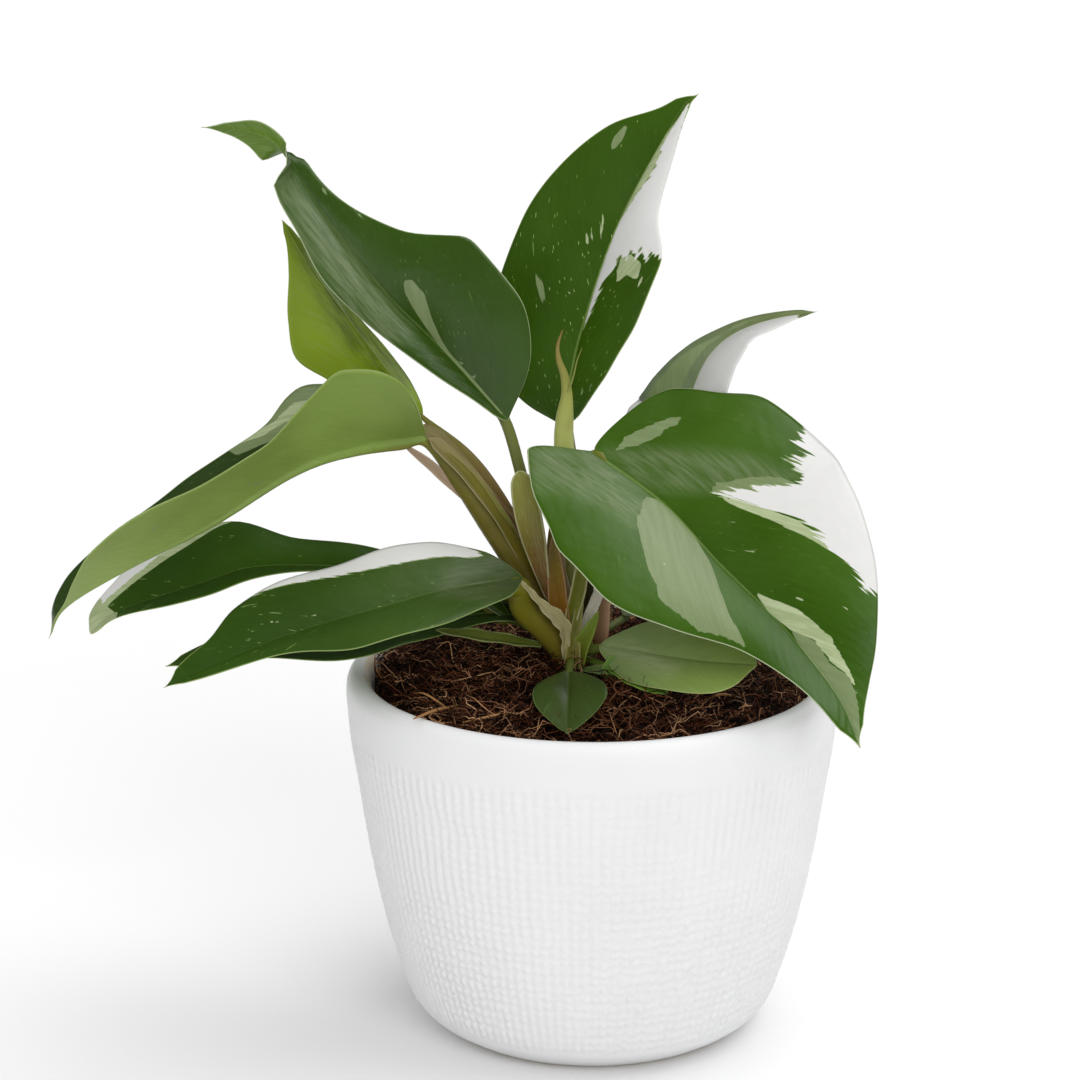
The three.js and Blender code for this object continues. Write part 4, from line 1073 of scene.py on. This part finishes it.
def stalk_course(leaf):
    """The stalk's points and radii, on beneath the midrib, where it thins out into the leaf's keel."""
    spine, _ = smooth_path(leaf["midrib"], KEEL_STEPS)
    along = unit(np.gradient(spine, axis=0))
    course = [(*point, radius) for point, radius in zip(leaf["stalk"], leaf["radii"])]
    for share, thin in KEEL_RUN:
        i = round(share * KEEL_STEPS)
        up = eased(leaf["facing"], np.array([share]))[0]
        up = unit(up - (up @ along[i]) * along[i])
        radius = leaf["radii"][-1] * thin * leaf.get("keel", 1)
        course.append((*(spine[i] - up * (radius + KEEL_SINK)), radius))
    return course


print("stalks:", len(STALK_COLOURS))

# %% [markdown]
# Each stalk runs on beneath its leaf, so that it ends where nobody sees it.

# %% Build the stalks
for name, leaf in LEAVES.items():
    piece, length = swept_piece(f"stalk_{name}", stalk_course(leaf), STALK_COLOURS[name], steps=80)
    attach(piece, "root")
    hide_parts(f"petiole_{name}")
    print(piece.name, round(length), "mm")

# %% [markdown]
# The newest leaf is still rolled up, so it is a stalk that narrows to a twisted thread, with a thin
# tendril beside it. The crown is the short scarred stem in the coir. Points are x, y, z and a radius.

# %% Build the rolled leaf and the crown
ROLLED_LEAF = [
    (-7, 5, 123, 2.4), (-7, 5, 147, 2.8), (-8.2, 4, 168, 2.8), (-8, 3, 177, 2.5), (-7.4, 3, 184, 1.6),
    (-8.2, 2.5, 189.8, 1.15), (-9.4, 2, 193.1, 0.9), (-10, 2, 196.2, 0.6), (-9.8, 2, 199, 0.45),
    (-8.6, 2, 202.5, 0.15),
]
ROLLED_COLOURS = [
    (160, 164, 84), (172, 178, 102), (174, 180, 104), (164, 172, 96), (136, 138, 66), (120, 92, 54),
]
CROWN = [(-4, 5, 84, 6), (-4, 5, 98, 6.5), (-5, 4, 108, 6), (-6, 4, 117, 3.5)]
TENDRIL = [(-7, 1.5, 185, 0.34), (-5.6, 1, 189.5, 0.26), (-4.6, 1, 194, 0.2), (-3.2, 1, 197.6, 0.1)]
piece, length = swept_piece("rolled_new_leaf", ROLLED_LEAF, ROLLED_COLOURS)
print("rolled leaf:", round(length), "mm")
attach(piece, "root")
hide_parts("new_leaf_spike")

piece, _ = swept_piece("rolled_leaf_tendril", TENDRIL, [(126, 132, 66), (104, 112, 50)], steps=24)
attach(piece, "root")

piece, _ = swept_piece("rooted_crown", CROWN, [(70, 50, 30), (92, 80, 40), (110, 112, 52)])
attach(piece, "root")
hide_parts("crown")

# %% [markdown]
# Round the crown the photograph shows smaller things that have no piece of their own in the solid model:
# the thin wings of the longest stalk, a dry cream collar where the lowest leaf broke out of its sheath,
# and a few shoots. Each is a small blade on its own short course, made by the same function as the
# leaves.

# %% Small growth round the crown
GROWTH_HALF = 0.22
GROWTH_SEED = 900
SMALL_GROWTH = {
    "winged_stalk": {
        "midrib": [(-17, 0, 131), (-27, 0, 149), (-36.5, 0, 162), (-46, 0, 172)],
        "facing": [(0, 0.71, -0.45, 0.55), (1, 0.71, -0.45, 0.55)],
        "both": [1, 2, 3, 3.6, 3.8, 3.8, 3.6, 3, 2.4],
        "look": {"tint": (108, 112, 44), "tint_tip": (120, 110, 66), "edge_tint": (160, 146, 118),
            "rib": 0.3}
    },
    "stalk_membrane": {
        "midrib": [(-35, 1, 153), (-40.5, 1, 159), (-46.3, 1, 164.6), (-52.7, 1, 169.5)],
        "facing": [(0, -0.1, -1, 0.2), (1, -0.1, -1, 0.2)],
        "both": [0.3, 0.8, 1.2, 1.5, 1.6, 1.5, 1.2, 0.8, 0.4],
        "look": {"tint": (150, 128, 104), "edge_tint": (176, 160, 140), "rib": 0}
    },
    "cream_collar": {
        "midrib": [(-8.2, -9.5, 110), (-7.9, -10.5, 118.5), (-10.2, -12, 123), (-14.1, -13, 127),
            (-20.5, -14, 134.8)], "facing": [(0, 0.6, -0.9, 0.4), (1, 0.5, -0.9, 0.6)],
        "left": [0.5, 1.1, 1.6, 2.6, 2.6, 1.6, 1, 0.8, 0.4],
        "right": [0.6, 1.1, 1.6, 2.4, 2.4, 1.6, 1.1, 0.8, 0.4],
        "look": {"tint": (164, 154, 110), "edge_tint": (196, 188, 148), "wave": 0.5, "waves": 6, "rib": 0,
            "dull": 0.2}
    },
    "amber_sheath": {
        "midrib": [(-8.6, -6.6, 118), (-9.6, -7, 124.5), (-10.4, -7.5, 134.3), (-11.3, -7.5, 146)],
        "facing": [(0, -0.1, -1, 0.1), (1, -0.1, -1, 0.1)], "both": [2.6, 3, 3.1, 3, 2.8, 2.4, 1.8, 1, 0.4],
        "look": {"tint": (124, 82, 4), "tint_tip": (108, 90, 8), "edge_tint": (170, 132, 96),
            "rim_scale": 0.7, "rib": 0, "dull": 0.15}
    },
    "olive_sheath": {
        "midrib": [(-6.8, -7, 115), (-6.2, -7, 122), (-4.4, -6, 129), (-3, -5, 137)],
        "facing": [(0, 0.3, -1, 0.1), (1, 0.3, -1, 0.1)], "both": [1.2, 1.6, 2, 2.3, 2.5, 2.5, 2.4, 2, 1],
        "look": {"tint": (104, 108, 14), "edge_tint": (196, 190, 150), "rim_scale": 0.5, "rib": 0,
            "dull": 0.15}
    },
    "olive_stem": {
        "midrib": [(-6.2, -9.4, 104), (-5.8, -9, 112), (-4.8, -7.5, 119.5), (-3.2, -5, 128)],
        "facing": [(0, 0.3, -1, 0.1), (1, 0.3, -1, 0.1)], "both": [3, 3, 2.8, 2.4, 2, 1.7, 1.4, 1.1, 0.5],
        "look": {"tint": (112, 104, 46), "tint_tip": (110, 114, 44), "edge_tint": (160, 154, 100),
            "rim_scale": 0.5, "rib": 0}
    },
    "inner_sheath": {
        "midrib": [(-4, 2, 112), (-2.5, 2, 124), (-1, 2, 139)],
        "facing": [(0, 0.1, -1, 0.1), (1, 0.1, -1, 0.1)], "both": [2, 2.4, 2.6, 2.7, 2.7, 2.6, 2.4, 1.8, 1],
        "look": {"tint": (58, 52, 20), "edge_tint": (90, 80, 40), "rib": 0}
    },
    "papery_sheath": {
        "midrib": [(-2.9, -3, 115.5), (-0.8, -2.5, 121.5), (1.2, -2, 126.5), (3.4, -1.5, 134)],
        "facing": [(0, 0.1, -1, 0.1), (1, 0.1, -1, 0.1)],
        "both": [0.8, 1.3, 1.6, 1.8, 1.8, 1.6, 1.3, 0.8, 0.3],
        "look": {"tint": (220, 214, 198), "edge_tint": (226, 222, 210), "wave": 0.3, "rib": 0, "dull": 0.2}
    },
    "green_shoot": {
        "midrib": [(-4.9, -8, 106), (-3.3, -8.4, 113), (-0.8, -8.4, 118.3), (1.6, -8, 124)],
        "facing": [(0, -0.3, -1, 0.2), (1, -0.3, -1, 0.2)],
        "left": [1.8, 2.5, 3, 3, 2.7, 2.2, 1.5, 0.8, 0.2],
        "right": [1.6, 2.2, 2.6, 2.5, 2.2, 1.8, 1.2, 0.7, 0.2],
        "look": {"tint": (84, 88, 14), "tint_tip": (104, 126, 26), "edge_tint": (136, 156, 60),
            "rim_scale": 0.6, "rib": 0.2, "dull": 0.1}
    },
    "bud_left": {
        "midrib": [(0.6, -13, 106), (2.4, -14, 108.5), (5.2, -14.5, 109.6)],
        "facing": [(0, -0.3, -1, 0.3), (1, 0.1, -1, 0.4)],
        "both": [0.6, 1, 1.4, 1.6, 1.6, 1.4, 1, 0.6, 0.2],
        "look": {"tint": (92, 104, 48), "edge_tint": (150, 162, 100), "rim_scale": 0.6}
    },
    "bud_middle": {
        "midrib": [(3, -16, 106.5), (4.4, -17, 110), (5.8, -16.5, 114)],
        "facing": [(0, 0.1, -0.8, 0.6), (1, 0.1, -0.7, 0.7)],
        "both": [0.6, 1.4, 2, 2.3, 2.1, 1.7, 1.1, 0.6, 0.2],
        "look": {"tint": (96, 128, 56), "edge_tint": (140, 166, 86)}
    },
    "bud_right": {
        "midrib": [(6.5, -16, 107), (9.5, -19, 109), (12, -21, 110)],
        "facing": [(0, 0.1, -0.8, 0.6), (1, 0.1, -0.7, 0.7)],
        "both": [0.6, 1.4, 2, 2.3, 2.1, 1.7, 1.1, 0.6, 0.2],
        "look": {"tint": (52, 82, 22), "edge_tint": (100, 130, 56)}
    },
    "bud_low": {
        "midrib": [(-3, -14, 108.5), (0.5, -18, 109.5), (4, -21, 109.5)],
        "facing": [(0, 0.1, -0.5, 1), (1, 0.1, -0.5, 1)],
        "both": [0.6, 1.2, 1.8, 2.2, 2.2, 1.8, 1.2, 0.6, 0.2],
        "look": {"tint": (82, 100, 56), "edge_tint": (120, 140, 90)}
    },
}
for order, (name, growth) in enumerate(SMALL_GROWTH.items()):
    leaf = {"fold": [25, 25, 20], "roll": 1, **growth}
    own = growth["look"]
    look = {"wave": 0.15, "pleat": 0, "arch": 0, "dull": 0.08, **own, "under": own["tint"]}
    piece = blade(name, leaf, look, SHEATH_KEEL, 50, 8, GROWTH_SEED + 23.0 * order, GROWTH_HALF,
                  lengthwise=True)
    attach(piece, "root")
print("small growth:", len(SMALL_GROWTH), "pieces")

# %% [markdown]
# The pot is turned from a profile, as it was thrown or cast, and then takes its cloth like relief. The
# ribs follow a rule, so Geometry Nodes press them in: fine upright ribs all round, broken by shallow
# cross grooves that get stronger towards the foot, and fading out below the plain band.

# %% Pot profile
POT_OUTSIDE = [(40, 0), (44, 1.6), (48.5, 4.6), (51.5, 8), (54, 13), (59.5, 31.5), (63.9, 52.5), (67.1, 73.5),
               (68.8, 84), (69.6, 93), (70, 99.5)]
POT_LIP = [(69.3, 103), (67, 105), (64.6, 104.2)]
POT_INSIDE = [(63, 101.5), (61.5, 92), (57.5, 52.5), (50, 16), (43, 8)]
RIBS = 140
COLUMNS = RIBS * 4
RELIEF_ROWS = 150
RELIEF_FROM, RELIEF_TO = 3, 93


def turned(name, outline, columns, material):
    """Turns an outline of (radius, height) round the upright axis; it starts and ends near the axis."""
    outline = np.asarray(outline, float)
    angle = np.linspace(0, 2 * np.pi, columns, endpoint=False)
    rings = np.stack([outline[:, None, 0] * np.cos(angle), outline[:, None, 0] * np.sin(angle),
                      outline[:, None, 1] + 0 * angle], axis=-1)
    places = np.vstack([rings.reshape(-1, 3), [(0, 0, outline[0, 1])], [(0, 0, outline[-1, 1])]])
    faces = [list(face) for face in grid_faces(len(outline), columns, closed=True)]
    first, last = len(places) - 2, len(places) - 1
    top = (len(outline) - 1) * columns
    for j in range(columns):
        after = (j + 1) % columns
        faces.append([first, after, j])
        faces.append([last, top + j, top + after])
    return make_piece(name, places * MM, faces, material=material)


def pot_outline():
    wall, _ = smooth_path(POT_OUTSIDE, 400)
    relief_height = np.linspace(RELIEF_FROM, RELIEF_TO, RELIEF_ROWS)
    relief = np.stack([np.interp(relief_height, wall[:, 1], wall[:, 0]), relief_height], axis=1)
    lip, _ = smooth_path([(69.6, 93.5), POT_OUTSIDE[-1], *POT_LIP, *POT_INSIDE[:2]], 18)
    return np.vstack([POT_OUTSIDE[:1], [(42.6, 0.7)], relief, lip, POT_INSIDE[2:]])


OUTLINE = pot_outline()
print("pot outline points:", len(OUTLINE), "triangles:", len(OUTLINE) * COLUMNS * 2)

# %% [markdown]
# The glaze is a dull white with faint clouds. It wears thin on the inner lip, where bare clay shows, and
# at the foot.

# %% Pot material
def pot_material():
    material, tree, shader = start_material("white_glaze", Roughness=0.46, Specular_IOR_Level=0.35)
    place = object_place(tree)
    x, y, height = split_xyz(tree, place)
    radius = distance_from_axis(tree, x, y)
    cloud = noise(tree, place, 14, 3.0)
    colour = mix_colour(tree, ramp(tree, cloud, 0.35, 0.7), srgb(222, 222, 223), srgb(218, 218, 219))
    inside, high = ramp(tree, radius, 0.0645, 0.0657, 1.0, 0.0), ramp(tree, height, 0.1, 0.1025)
    patchy = ramp(tree, noise(tree, place, 160, 3.0), 0.3, 0.6, 0.25, 0.9)
    worn = times(tree, times(tree, inside, high), patchy)
    colour = mix_colour(tree, worn, colour, srgb(206, 192, 166))
    foot = ramp(tree, height, 0.0008, 0.0016, 0.8, 0.0)
    colour = mix_colour(tree, foot, colour, srgb(214, 206, 190))
    tree.links.new(colour, shader.inputs["Base Color"])
    tree.links.new(ramp(tree, noise(tree, place, 220, 3.0), 0.3, 0.7, 0.4, 0.52), shader.inputs["Roughness"])
    bump(tree, shader, noise(tree, place, 900, 3.0), 0.00008, 0.5)
    return material


GLAZE = pot_material()
print("glaze material nodes:", len(GLAZE.node_tree.nodes))

# %% [markdown]
# A displacement texture would need an image or a very dense wall. Here each point of the wall reads its
# own turn and height, works out how deep the groove is there, and moves in along its normal.

# %% Pot relief tree
def groove(tree, level, sharpness):
    """1 on a ridge and 0 in the groove between it and the next, for a level that counts ridges."""
    wave = maths(tree, "ABSOLUTE", maths(tree, "COSINE", times(tree, level, math.pi)))
    return maths(tree, "POWER", wave, sharpness)


def relief_tree():
    tree, given = start_tree("press_ribs", Ribs=float(RIBS), Depth=0.00068, Cross=0.0029, Top=0.092,
                             Foot=0.006, Material=GLAZE)
    place = shape_node(tree, "InputPosition")
    x, y, z = split_xyz(tree, place)
    turn = maths(tree, "DIVIDE", maths(tree, "ARCTAN2", y, x), 2 * math.pi)
    radius = distance_from_axis(tree, x, y)
    wall = plus(tree, times(tree, minus(tree, z, 0.016), 0.13), 0.0505)
    outside = maths(tree, "GREATER_THAN", radius, wall)
    broad = noise(tree, place, 22, 1.0)
    waver = minus(tree, noise(tree, place, 90, 2.0), 0.5)
    turned_by = times(tree, turn, given["Ribs"])
    rib = groove(tree, plus(tree, turned_by, times(tree, waver, 0.8)), 0.8)
    thread = noise(tree, join_xyz(tree, turned_by, times(tree, z, 150.0)), 1.0, 1.0)
    level = plus(tree, maths(tree, "DIVIDE", z, given["Cross"]), times(tree, thread, 1.5))
    cross = groove(tree, level, 0.7)
    low = ramp(tree, z, 0.09, 0.045, 0.5, 1.0)
    woven = times(tree, low, ramp(tree, broad, 0.3, 0.6, 0.45, 1.0))
    beads = minus(tree, 1.0, times(tree, woven, minus(tree, 1.0, cross)))
    ribs = times(tree, rib, beads)
    top_edge = plus(tree, given["Top"], times(tree, minus(tree, broad, 0.5), 0.008))
    band = times(tree, ramp(tree, minus(tree, top_edge, z), 0.0, 0.004),
                 ramp(tree, minus(tree, z, given["Foot"]), 0.0, 0.004))
    depth = times(tree, times(tree, minus(tree, ribs, 1.0), given["Depth"]),
                  times(tree, band, outside))
    offset = scaled(tree, shape_node(tree, "InputNormal"), depth)
    pressed = shape_node(tree, "SetPosition", Geometry=given["Geometry"], Offset=offset)
    end_tree(tree, pressed, given["Material"])
    return tree


pot = turned("ribbed_pot", OUTLINE, COLUMNS, GLAZE)
grow(pot, relief_tree(), Material=GLAZE)
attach(pot, "root")
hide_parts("pot")
print("pot faces:", len(pot.data.polygons))

# %% [markdown]
# Coir is ground coconut husk: dark crumbs full of springy brown fibres. The heap is a rough surface with
# hollows and Geometry Nodes lay thousands of fibres on it, each bent by a noise so that no two are alike.

# %% Coir material
def coir_material():
    material, tree, shader = start_material("coir", Roughness=0.85, Specular_IOR_Level=0.25)
    place = object_place(tree)
    tone = read_attribute(tree, "tone", "Fac")
    damp = ramp(tree, noise(tree, place, 130, 4.0), 0.35, 0.7)
    dark = mix_colour(tree, damp, srgb(13, 6, 5), srgb(38, 20, 13))
    reddish = mix_colour(tree, ramp(tree, tone, 0.1, 0.6), dark, srgb(112, 62, 38))
    colour = mix_colour(tree, ramp(tree, tone, 0.55, 1.0), reddish, srgb(206, 158, 116))
    tree.links.new(colour, shader.inputs["Base Color"])
    bump(tree, shader, noise(tree, place, 700, 4.0), 0.0006, 0.8)
    return material


COIR = coir_material()
print("coir material nodes:", len(COIR.node_tree.nodes))

# %% [markdown]
# The heap's top is a height for every place on it: a dome, a rise at the back, a mound and a dip that the
# photograph shows, and waves that cross one another for lumps and crumbs. Below it, rings follow the
# pot's inside.

# %% Coir heap
COIR_RADIUS = 61
COIR_EDGE_HEIGHT = 98
COIR_DOME = 5.5
BACK_RISE = 4
HOLE_DEPTH = 5
HEAP_WALL = [(42.4, 8.4), (49.4, 16), (56.9, 52.5), (60.8, 90)]
HEAP_TONE = 0.05


def heap_height(x, y):
    """The heap's height: a low dome, higher at the back left, with lumps and a few deeper hollows."""
    radius = np.hypot(x, y)
    dome = COIR_EDGE_HEIGHT + COIR_DOME * np.cos(np.pi / 2 * np.clip(radius / COIR_RADIUS, 0, 1))
    back = BACK_RISE * ramp_array((0.8 * y - 0.6 * x) / COIR_RADIUS, -0.1, 0.9)
    mound = 3.5 * np.exp(-((x + 38) ** 2 + (y + 14) ** 2) / 180)
    dip = 4 * np.exp(-((x + 7) ** 2 + (y + 47) ** 2) / 160)
    lumps = np.sin(0.31 * x + 1.3) * np.cos(0.37 * y) + 0.7 * np.sin(0.73 * x - 0.59 * y)
    crumbs = np.sin(1.3 * x + 0.6 * y) * np.sin(1.1 * y - 0.5 * x + 2)
    crumbs += 0.6 * np.sin(2.3 * x) * np.cos(2.1 * y + 1)
    hollows = ramp_array(np.sin(0.29 * x + 4) * np.sin(0.33 * y + 0.4), 0.45, 0.95)
    return dome + back + (mound - dip) + 0.8 * lumps + 0.5 * crumbs - HOLE_DEPTH * hollows


heap_rings = np.linspace(COIR_RADIUS, 1.2, 60)
angles = np.linspace(0, 2 * np.pi, 180, endpoint=False)
heap_places = []
for radius, height in HEAP_WALL:
    heap_places += [(radius * np.cos(t), radius * np.sin(t), height) for t in angles]
for radius in heap_rings:
    x, y = radius * np.cos(angles), radius * np.sin(angles)
    heap_places += list(zip(x, y, heap_height(x, y)))
heap_rows = len(HEAP_WALL) + len(heap_rings)
faces = [list(face) for face in grid_faces(heap_rows, len(angles), closed=True)]
faces.append(list(range(len(angles)))[::-1])
faces.append([(heap_rows - 1) * len(angles) + j for j in range(len(angles))])
heap = make_piece("coir_heap", np.array(heap_places) * MM, faces, material=COIR,
                  attributes={"tone": np.full(len(heap_places), HEAP_TONE)})
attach(heap, "root")
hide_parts("coir")
print("heap faces:", len(heap.data.polygons))

# %% [markdown]
# The tree scatters points on the heap's top, lays a straight line on each, bends the lines by a noise
# that differs from fibre to fibre, draws in what leaves the pot, and sweeps a thin three-sided ring along
# each.

# %% Fibre tree
HEAP_TOP_FROM = 0.0935
HEAP_TOP_AREA = 0.0125
FIBRE_REACH = 0.0618


def fibre_tree():
    tree, given = start_tree("lay_fibres", Count=1000, Points=8, Shortest=0.3, Longest=0.024,
                             Thickness=0.00017, Lift=0.003, Curl=0.008, Seed=3, Material=COIR)
    place = shape_node(tree, "InputPosition")
    x, y, z = split_xyz(tree, place)
    top = maths(tree, "GREATER_THAN", z, HEAP_TOP_FROM)
    clumps = ramp(tree, noise(tree, place, 55, 2.0), 0.4, 0.6, 0.25, 1.6)
    density = times(tree, maths(tree, "DIVIDE", given["Count"], HEAP_TOP_AREA), clumps)
    spread = shape_node(tree, "DistributePointsOnFaces", Mesh=given["Geometry"], Selection=top,
                        Density=density, Seed=given["Seed"])
    line = shape_node(tree, "CurvePrimitiveLine", Start=(-0.5, 0, 0), End=(0.5, 0, 0))
    fine = shape_node(tree, "ResampleCurve", Curve=line, Count=given["Points"])

    def chance(low, high, salt):
        """A number, or with vectors three, drawn for each fibre."""
        kind, first, out = ("FLOAT", 2, 1) if isinstance(high, float) else ("FLOAT_VECTOR", 0, 0)
        sockets = {first: low, first + 1: high, 8: plus(tree, given["Seed"], salt)}
        return add_node(tree, "FunctionNodeRandomValue", sockets, data_type=kind).outputs[out]

    lift = join_xyz(tree, 0.0, 0.0, times(tree, chance(-0.2, 1.0, 5), given["Lift"]))
    lifted = shape_node(tree, "SetPosition", Geometry=spread, Offset=lift)
    heading = chance((-0.5, -0.5, 0.0), (0.5, 0.5, 6.283), 11)
    turned_round = add_node(tree, "FunctionNodeEulerToRotation", {0: heading}).outputs[0]
    share = maths(tree, "POWER", chance(0.0, 1.0, 12), 1.7)
    long = times(tree, given["Longest"], plus(tree, given["Shortest"], times(tree, share, 0.75)))
    laid = shape_node(tree, "InstanceOnPoints", Points=lifted, Instance=fine, Rotation=turned_round,
                      Scale=join_xyz(tree, long, long, long))
    drawn = {"tone": maths(tree, "POWER", chance(0.0, 1.0, 13), 2.0), "thick": chance(0.4, 1.0, 14),
             "whim": chance(0.0, 50.0, 15)}
    for label, value in drawn.items():
        sockets = {"Geometry": laid, "Name": label, "Value": value}
        laid = add_node(tree, "GeometryNodeStoreNamedAttribute", sockets, data_type="FLOAT",
                        domain="INSTANCE").outputs[0]
    real = shape_node(tree, "RealizeInstances", Geometry=laid)

    sockets = {"Vector": place, "W": read_named(tree, "whim"), "Scale": 120.0, "Detail": 2.5,
               "Roughness": 0.6}
    swirl = add_node(tree, "ShaderNodeTexNoise", sockets, noise_dimensions="4D").outputs["Color"]
    shift = scaled(tree, vector_maths(tree, "SUBTRACT", swirl, (0.5, 0.5, 0.44)), given["Curl"])
    bent = shape_node(tree, "SetPosition", Geometry=real, Offset=shift)
    inward = maths(tree, "MINIMUM", 1.0, maths(tree, "DIVIDE", FIBRE_REACH, distance_from_axis(tree, x, y)))
    drawn_in = vector_maths(tree, "MULTIPLY", place, join_xyz(tree, inward, inward, 1.0))
    kept_in = shape_node(tree, "SetPosition", Geometry=bent, Position=drawn_in)

    factor = add_node(tree, "GeometryNodeSplineParameter").outputs["Factor"]
    taper = ramp(tree, maths(tree, "ABSOLUTE", minus(tree, factor, 0.5)), 0.3, 0.5, 1.0, 0.35)
    ring = shape_node(tree, "CurvePrimitiveCircle", Resolution=3, Radius=given["Thickness"])
    strands = shape_node(tree, "CurveToMesh", Curve=kept_in, Profile_Curve=ring,
                         Scale=times(tree, read_named(tree, "thick"), taper), Fill_Caps=True)
    end_tree(tree, strands, given["Material"])
    return tree


FIBRES = fibre_tree()
print("fibre tree nodes:", len(FIBRES.nodes))

# %% [markdown]
# Two sorts lie on the heap: long springy fibres, and short fine ones that fill the gaps between them.

# %% Grow the fibres
FIBRE_KINDS = {
    "coir_fibres": {"Count": 3000, "Points": 11, "Longest": 0.028, "Thickness": 0.0002, "Lift": 0.0036,
                    "Curl": 0.021},
    "coir_crumbs": {"Count": 6200, "Points": 5, "Longest": 0.011, "Thickness": 0.00015, "Lift": 0.0022,
                    "Curl": 0.01},
}
heap_faces = [list(face.vertices) for face in heap.data.polygons]
for order, (name, settings) in enumerate(FIBRE_KINDS.items()):
    fibres = make_piece(name, [v.co[:] for v in heap.data.vertices], heap_faces)
    grow(fibres, FIBRES, Material=COIR, Seed=3 + 20 * order, **settings)
    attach(fibres, "root")
    print(name, "faces:", len(fibres.data.polygons))

# %% [markdown]
# A few thick husk fibres lie on top, one of them out over the rim, and are swept like the stalks.

# %% Loose fibres
LOOSE_FIBRES = {
    "loose_fibre_rim": [(-49.1, -52.1, 106.9, 0.25), (-43.1, -41.7, 105.9, 0.5), (-37, -30.5, 103.4, 0.45)],
    "loose_fibre_left": [(-36, -45, 103.4, 0.2), (-26, -42, 104.6, 0.4), (-17, -34, 102.5, 0.25)],
    "loose_fibre_back": [(-50, -24, 105, 0.15), (-46, -32, 107, 0.3), (-38, -37, 103, 0.2)],
    "loose_fibre_right": [(28, -29, 103, 0.2), (35, -27, 105.5, 0.35), (42, -25, 103.5, 0.2)],
}
FIBRE_COLOURS = [(150, 100, 66), (176, 124, 84), (140, 92, 60)]
for name, course in LOOSE_FIBRES.items():
    piece, _ = swept_piece(name, course, FIBRE_COLOURS, steps=24)
    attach(piece, "root")
print("loose fibres:", len(LOOSE_FIBRES))

# %% [markdown]
# The floor is a wide pale sheet, so that the picture has no horizon. It isn't part of the object.

# %% Floor
def floor_material():
    material, tree, shader = start_material("pale_floor", Roughness=0.9, Specular_IOR_Level=0.1)
    cloud = noise(tree, object_place(tree), 3, 2.0)
    colour = mix_colour(tree, ramp(tree, cloud, 0.3, 0.7), (0.88, 0.88, 0.88, 1), (0.86, 0.86, 0.86, 1))
    tree.links.new(colour, shader.inputs["Base Color"])
    return material


FLOOR_CORNERS = [(-6, -6, 0), (6, -6, 0), (6, 8, 0), (-6, 8, 0)]
floor = make_piece("floor", FLOOR_CORNERS, [[0, 1, 2, 3]], material=floor_material())

# %% [markdown]
# Soft studio light: a white surround, a key high on the right, a weaker lamp in front, right of the
# camera, that leaves the pot's left side a little greyer, and a faint fill from the left. A fourth lamp
# is only mirrored, and puts the grey sheen on leaves that face it. All are sun lamps with a broad face,
# which light every part of the plant alike, as large soft boxes a long way off do. Leaves mirror whatever
# surrounds them, and a photographer hangs black cloth there, so the surround is bright for everything
# except mirror rays.

# %% Light
def lamp(name, direction, angle, strength, lights=True, mirrored=True):
    """A lamp in a direction, its face so many degrees wide, which may only light or only be mirrored."""
    data = bpy.data.lights.new(name, "SUN")
    data.angle = math.radians(angle)
    data.energy = strength
    made = bpy.data.objects.new(name, data)
    x, y, z = unit(np.array(direction, float))
    made.rotation_euler = (math.acos(z), 0, math.atan2(x, -y))
    made.visible_diffuse = lights
    made.visible_glossy = mirrored
    bpy.context.scene.collection.objects.link(made)


def surround(camera_strength, mirror_strength, soft_strength):
    world = bpy.data.worlds.new("studio")
    world.use_nodes = True
    tree = world.node_tree
    rays = add_node(tree, "ShaderNodeLightPath").outputs
    strengths = {"Is Camera Ray": camera_strength, "Is Glossy Ray": mirror_strength,
                 "Is Diffuse Ray": soft_strength}
    parts = [times(tree, rays[kind], strength) for kind, strength in strengths.items()]
    total = plus(tree, plus(tree, parts[0], parts[1]), parts[2])
    tree.links.new(total, tree.nodes["Background"].inputs["Strength"])
    tree.nodes["Background"].inputs["Color"].default_value = (1, 1, 1, 1)
    bpy.context.scene.world = world


lamp("key", (0.42, 0.12, 0.9), 56, 1.35, mirrored=False)
lamp("front", (0.28, -0.85, 0.45), 40, 1.2, mirrored=False)
lamp("fill", (-0.8, -0.5, 0.4), 60, 0.42, mirrored=False)
lamp("sheen", (0.62, 0.24, 0.75), 54, 1.3, lights=False)
surround(camera_strength=1.0, mirror_strength=0.03, soft_strength=0.6)
bpy.context.scene.view_settings.view_transform = "Standard"
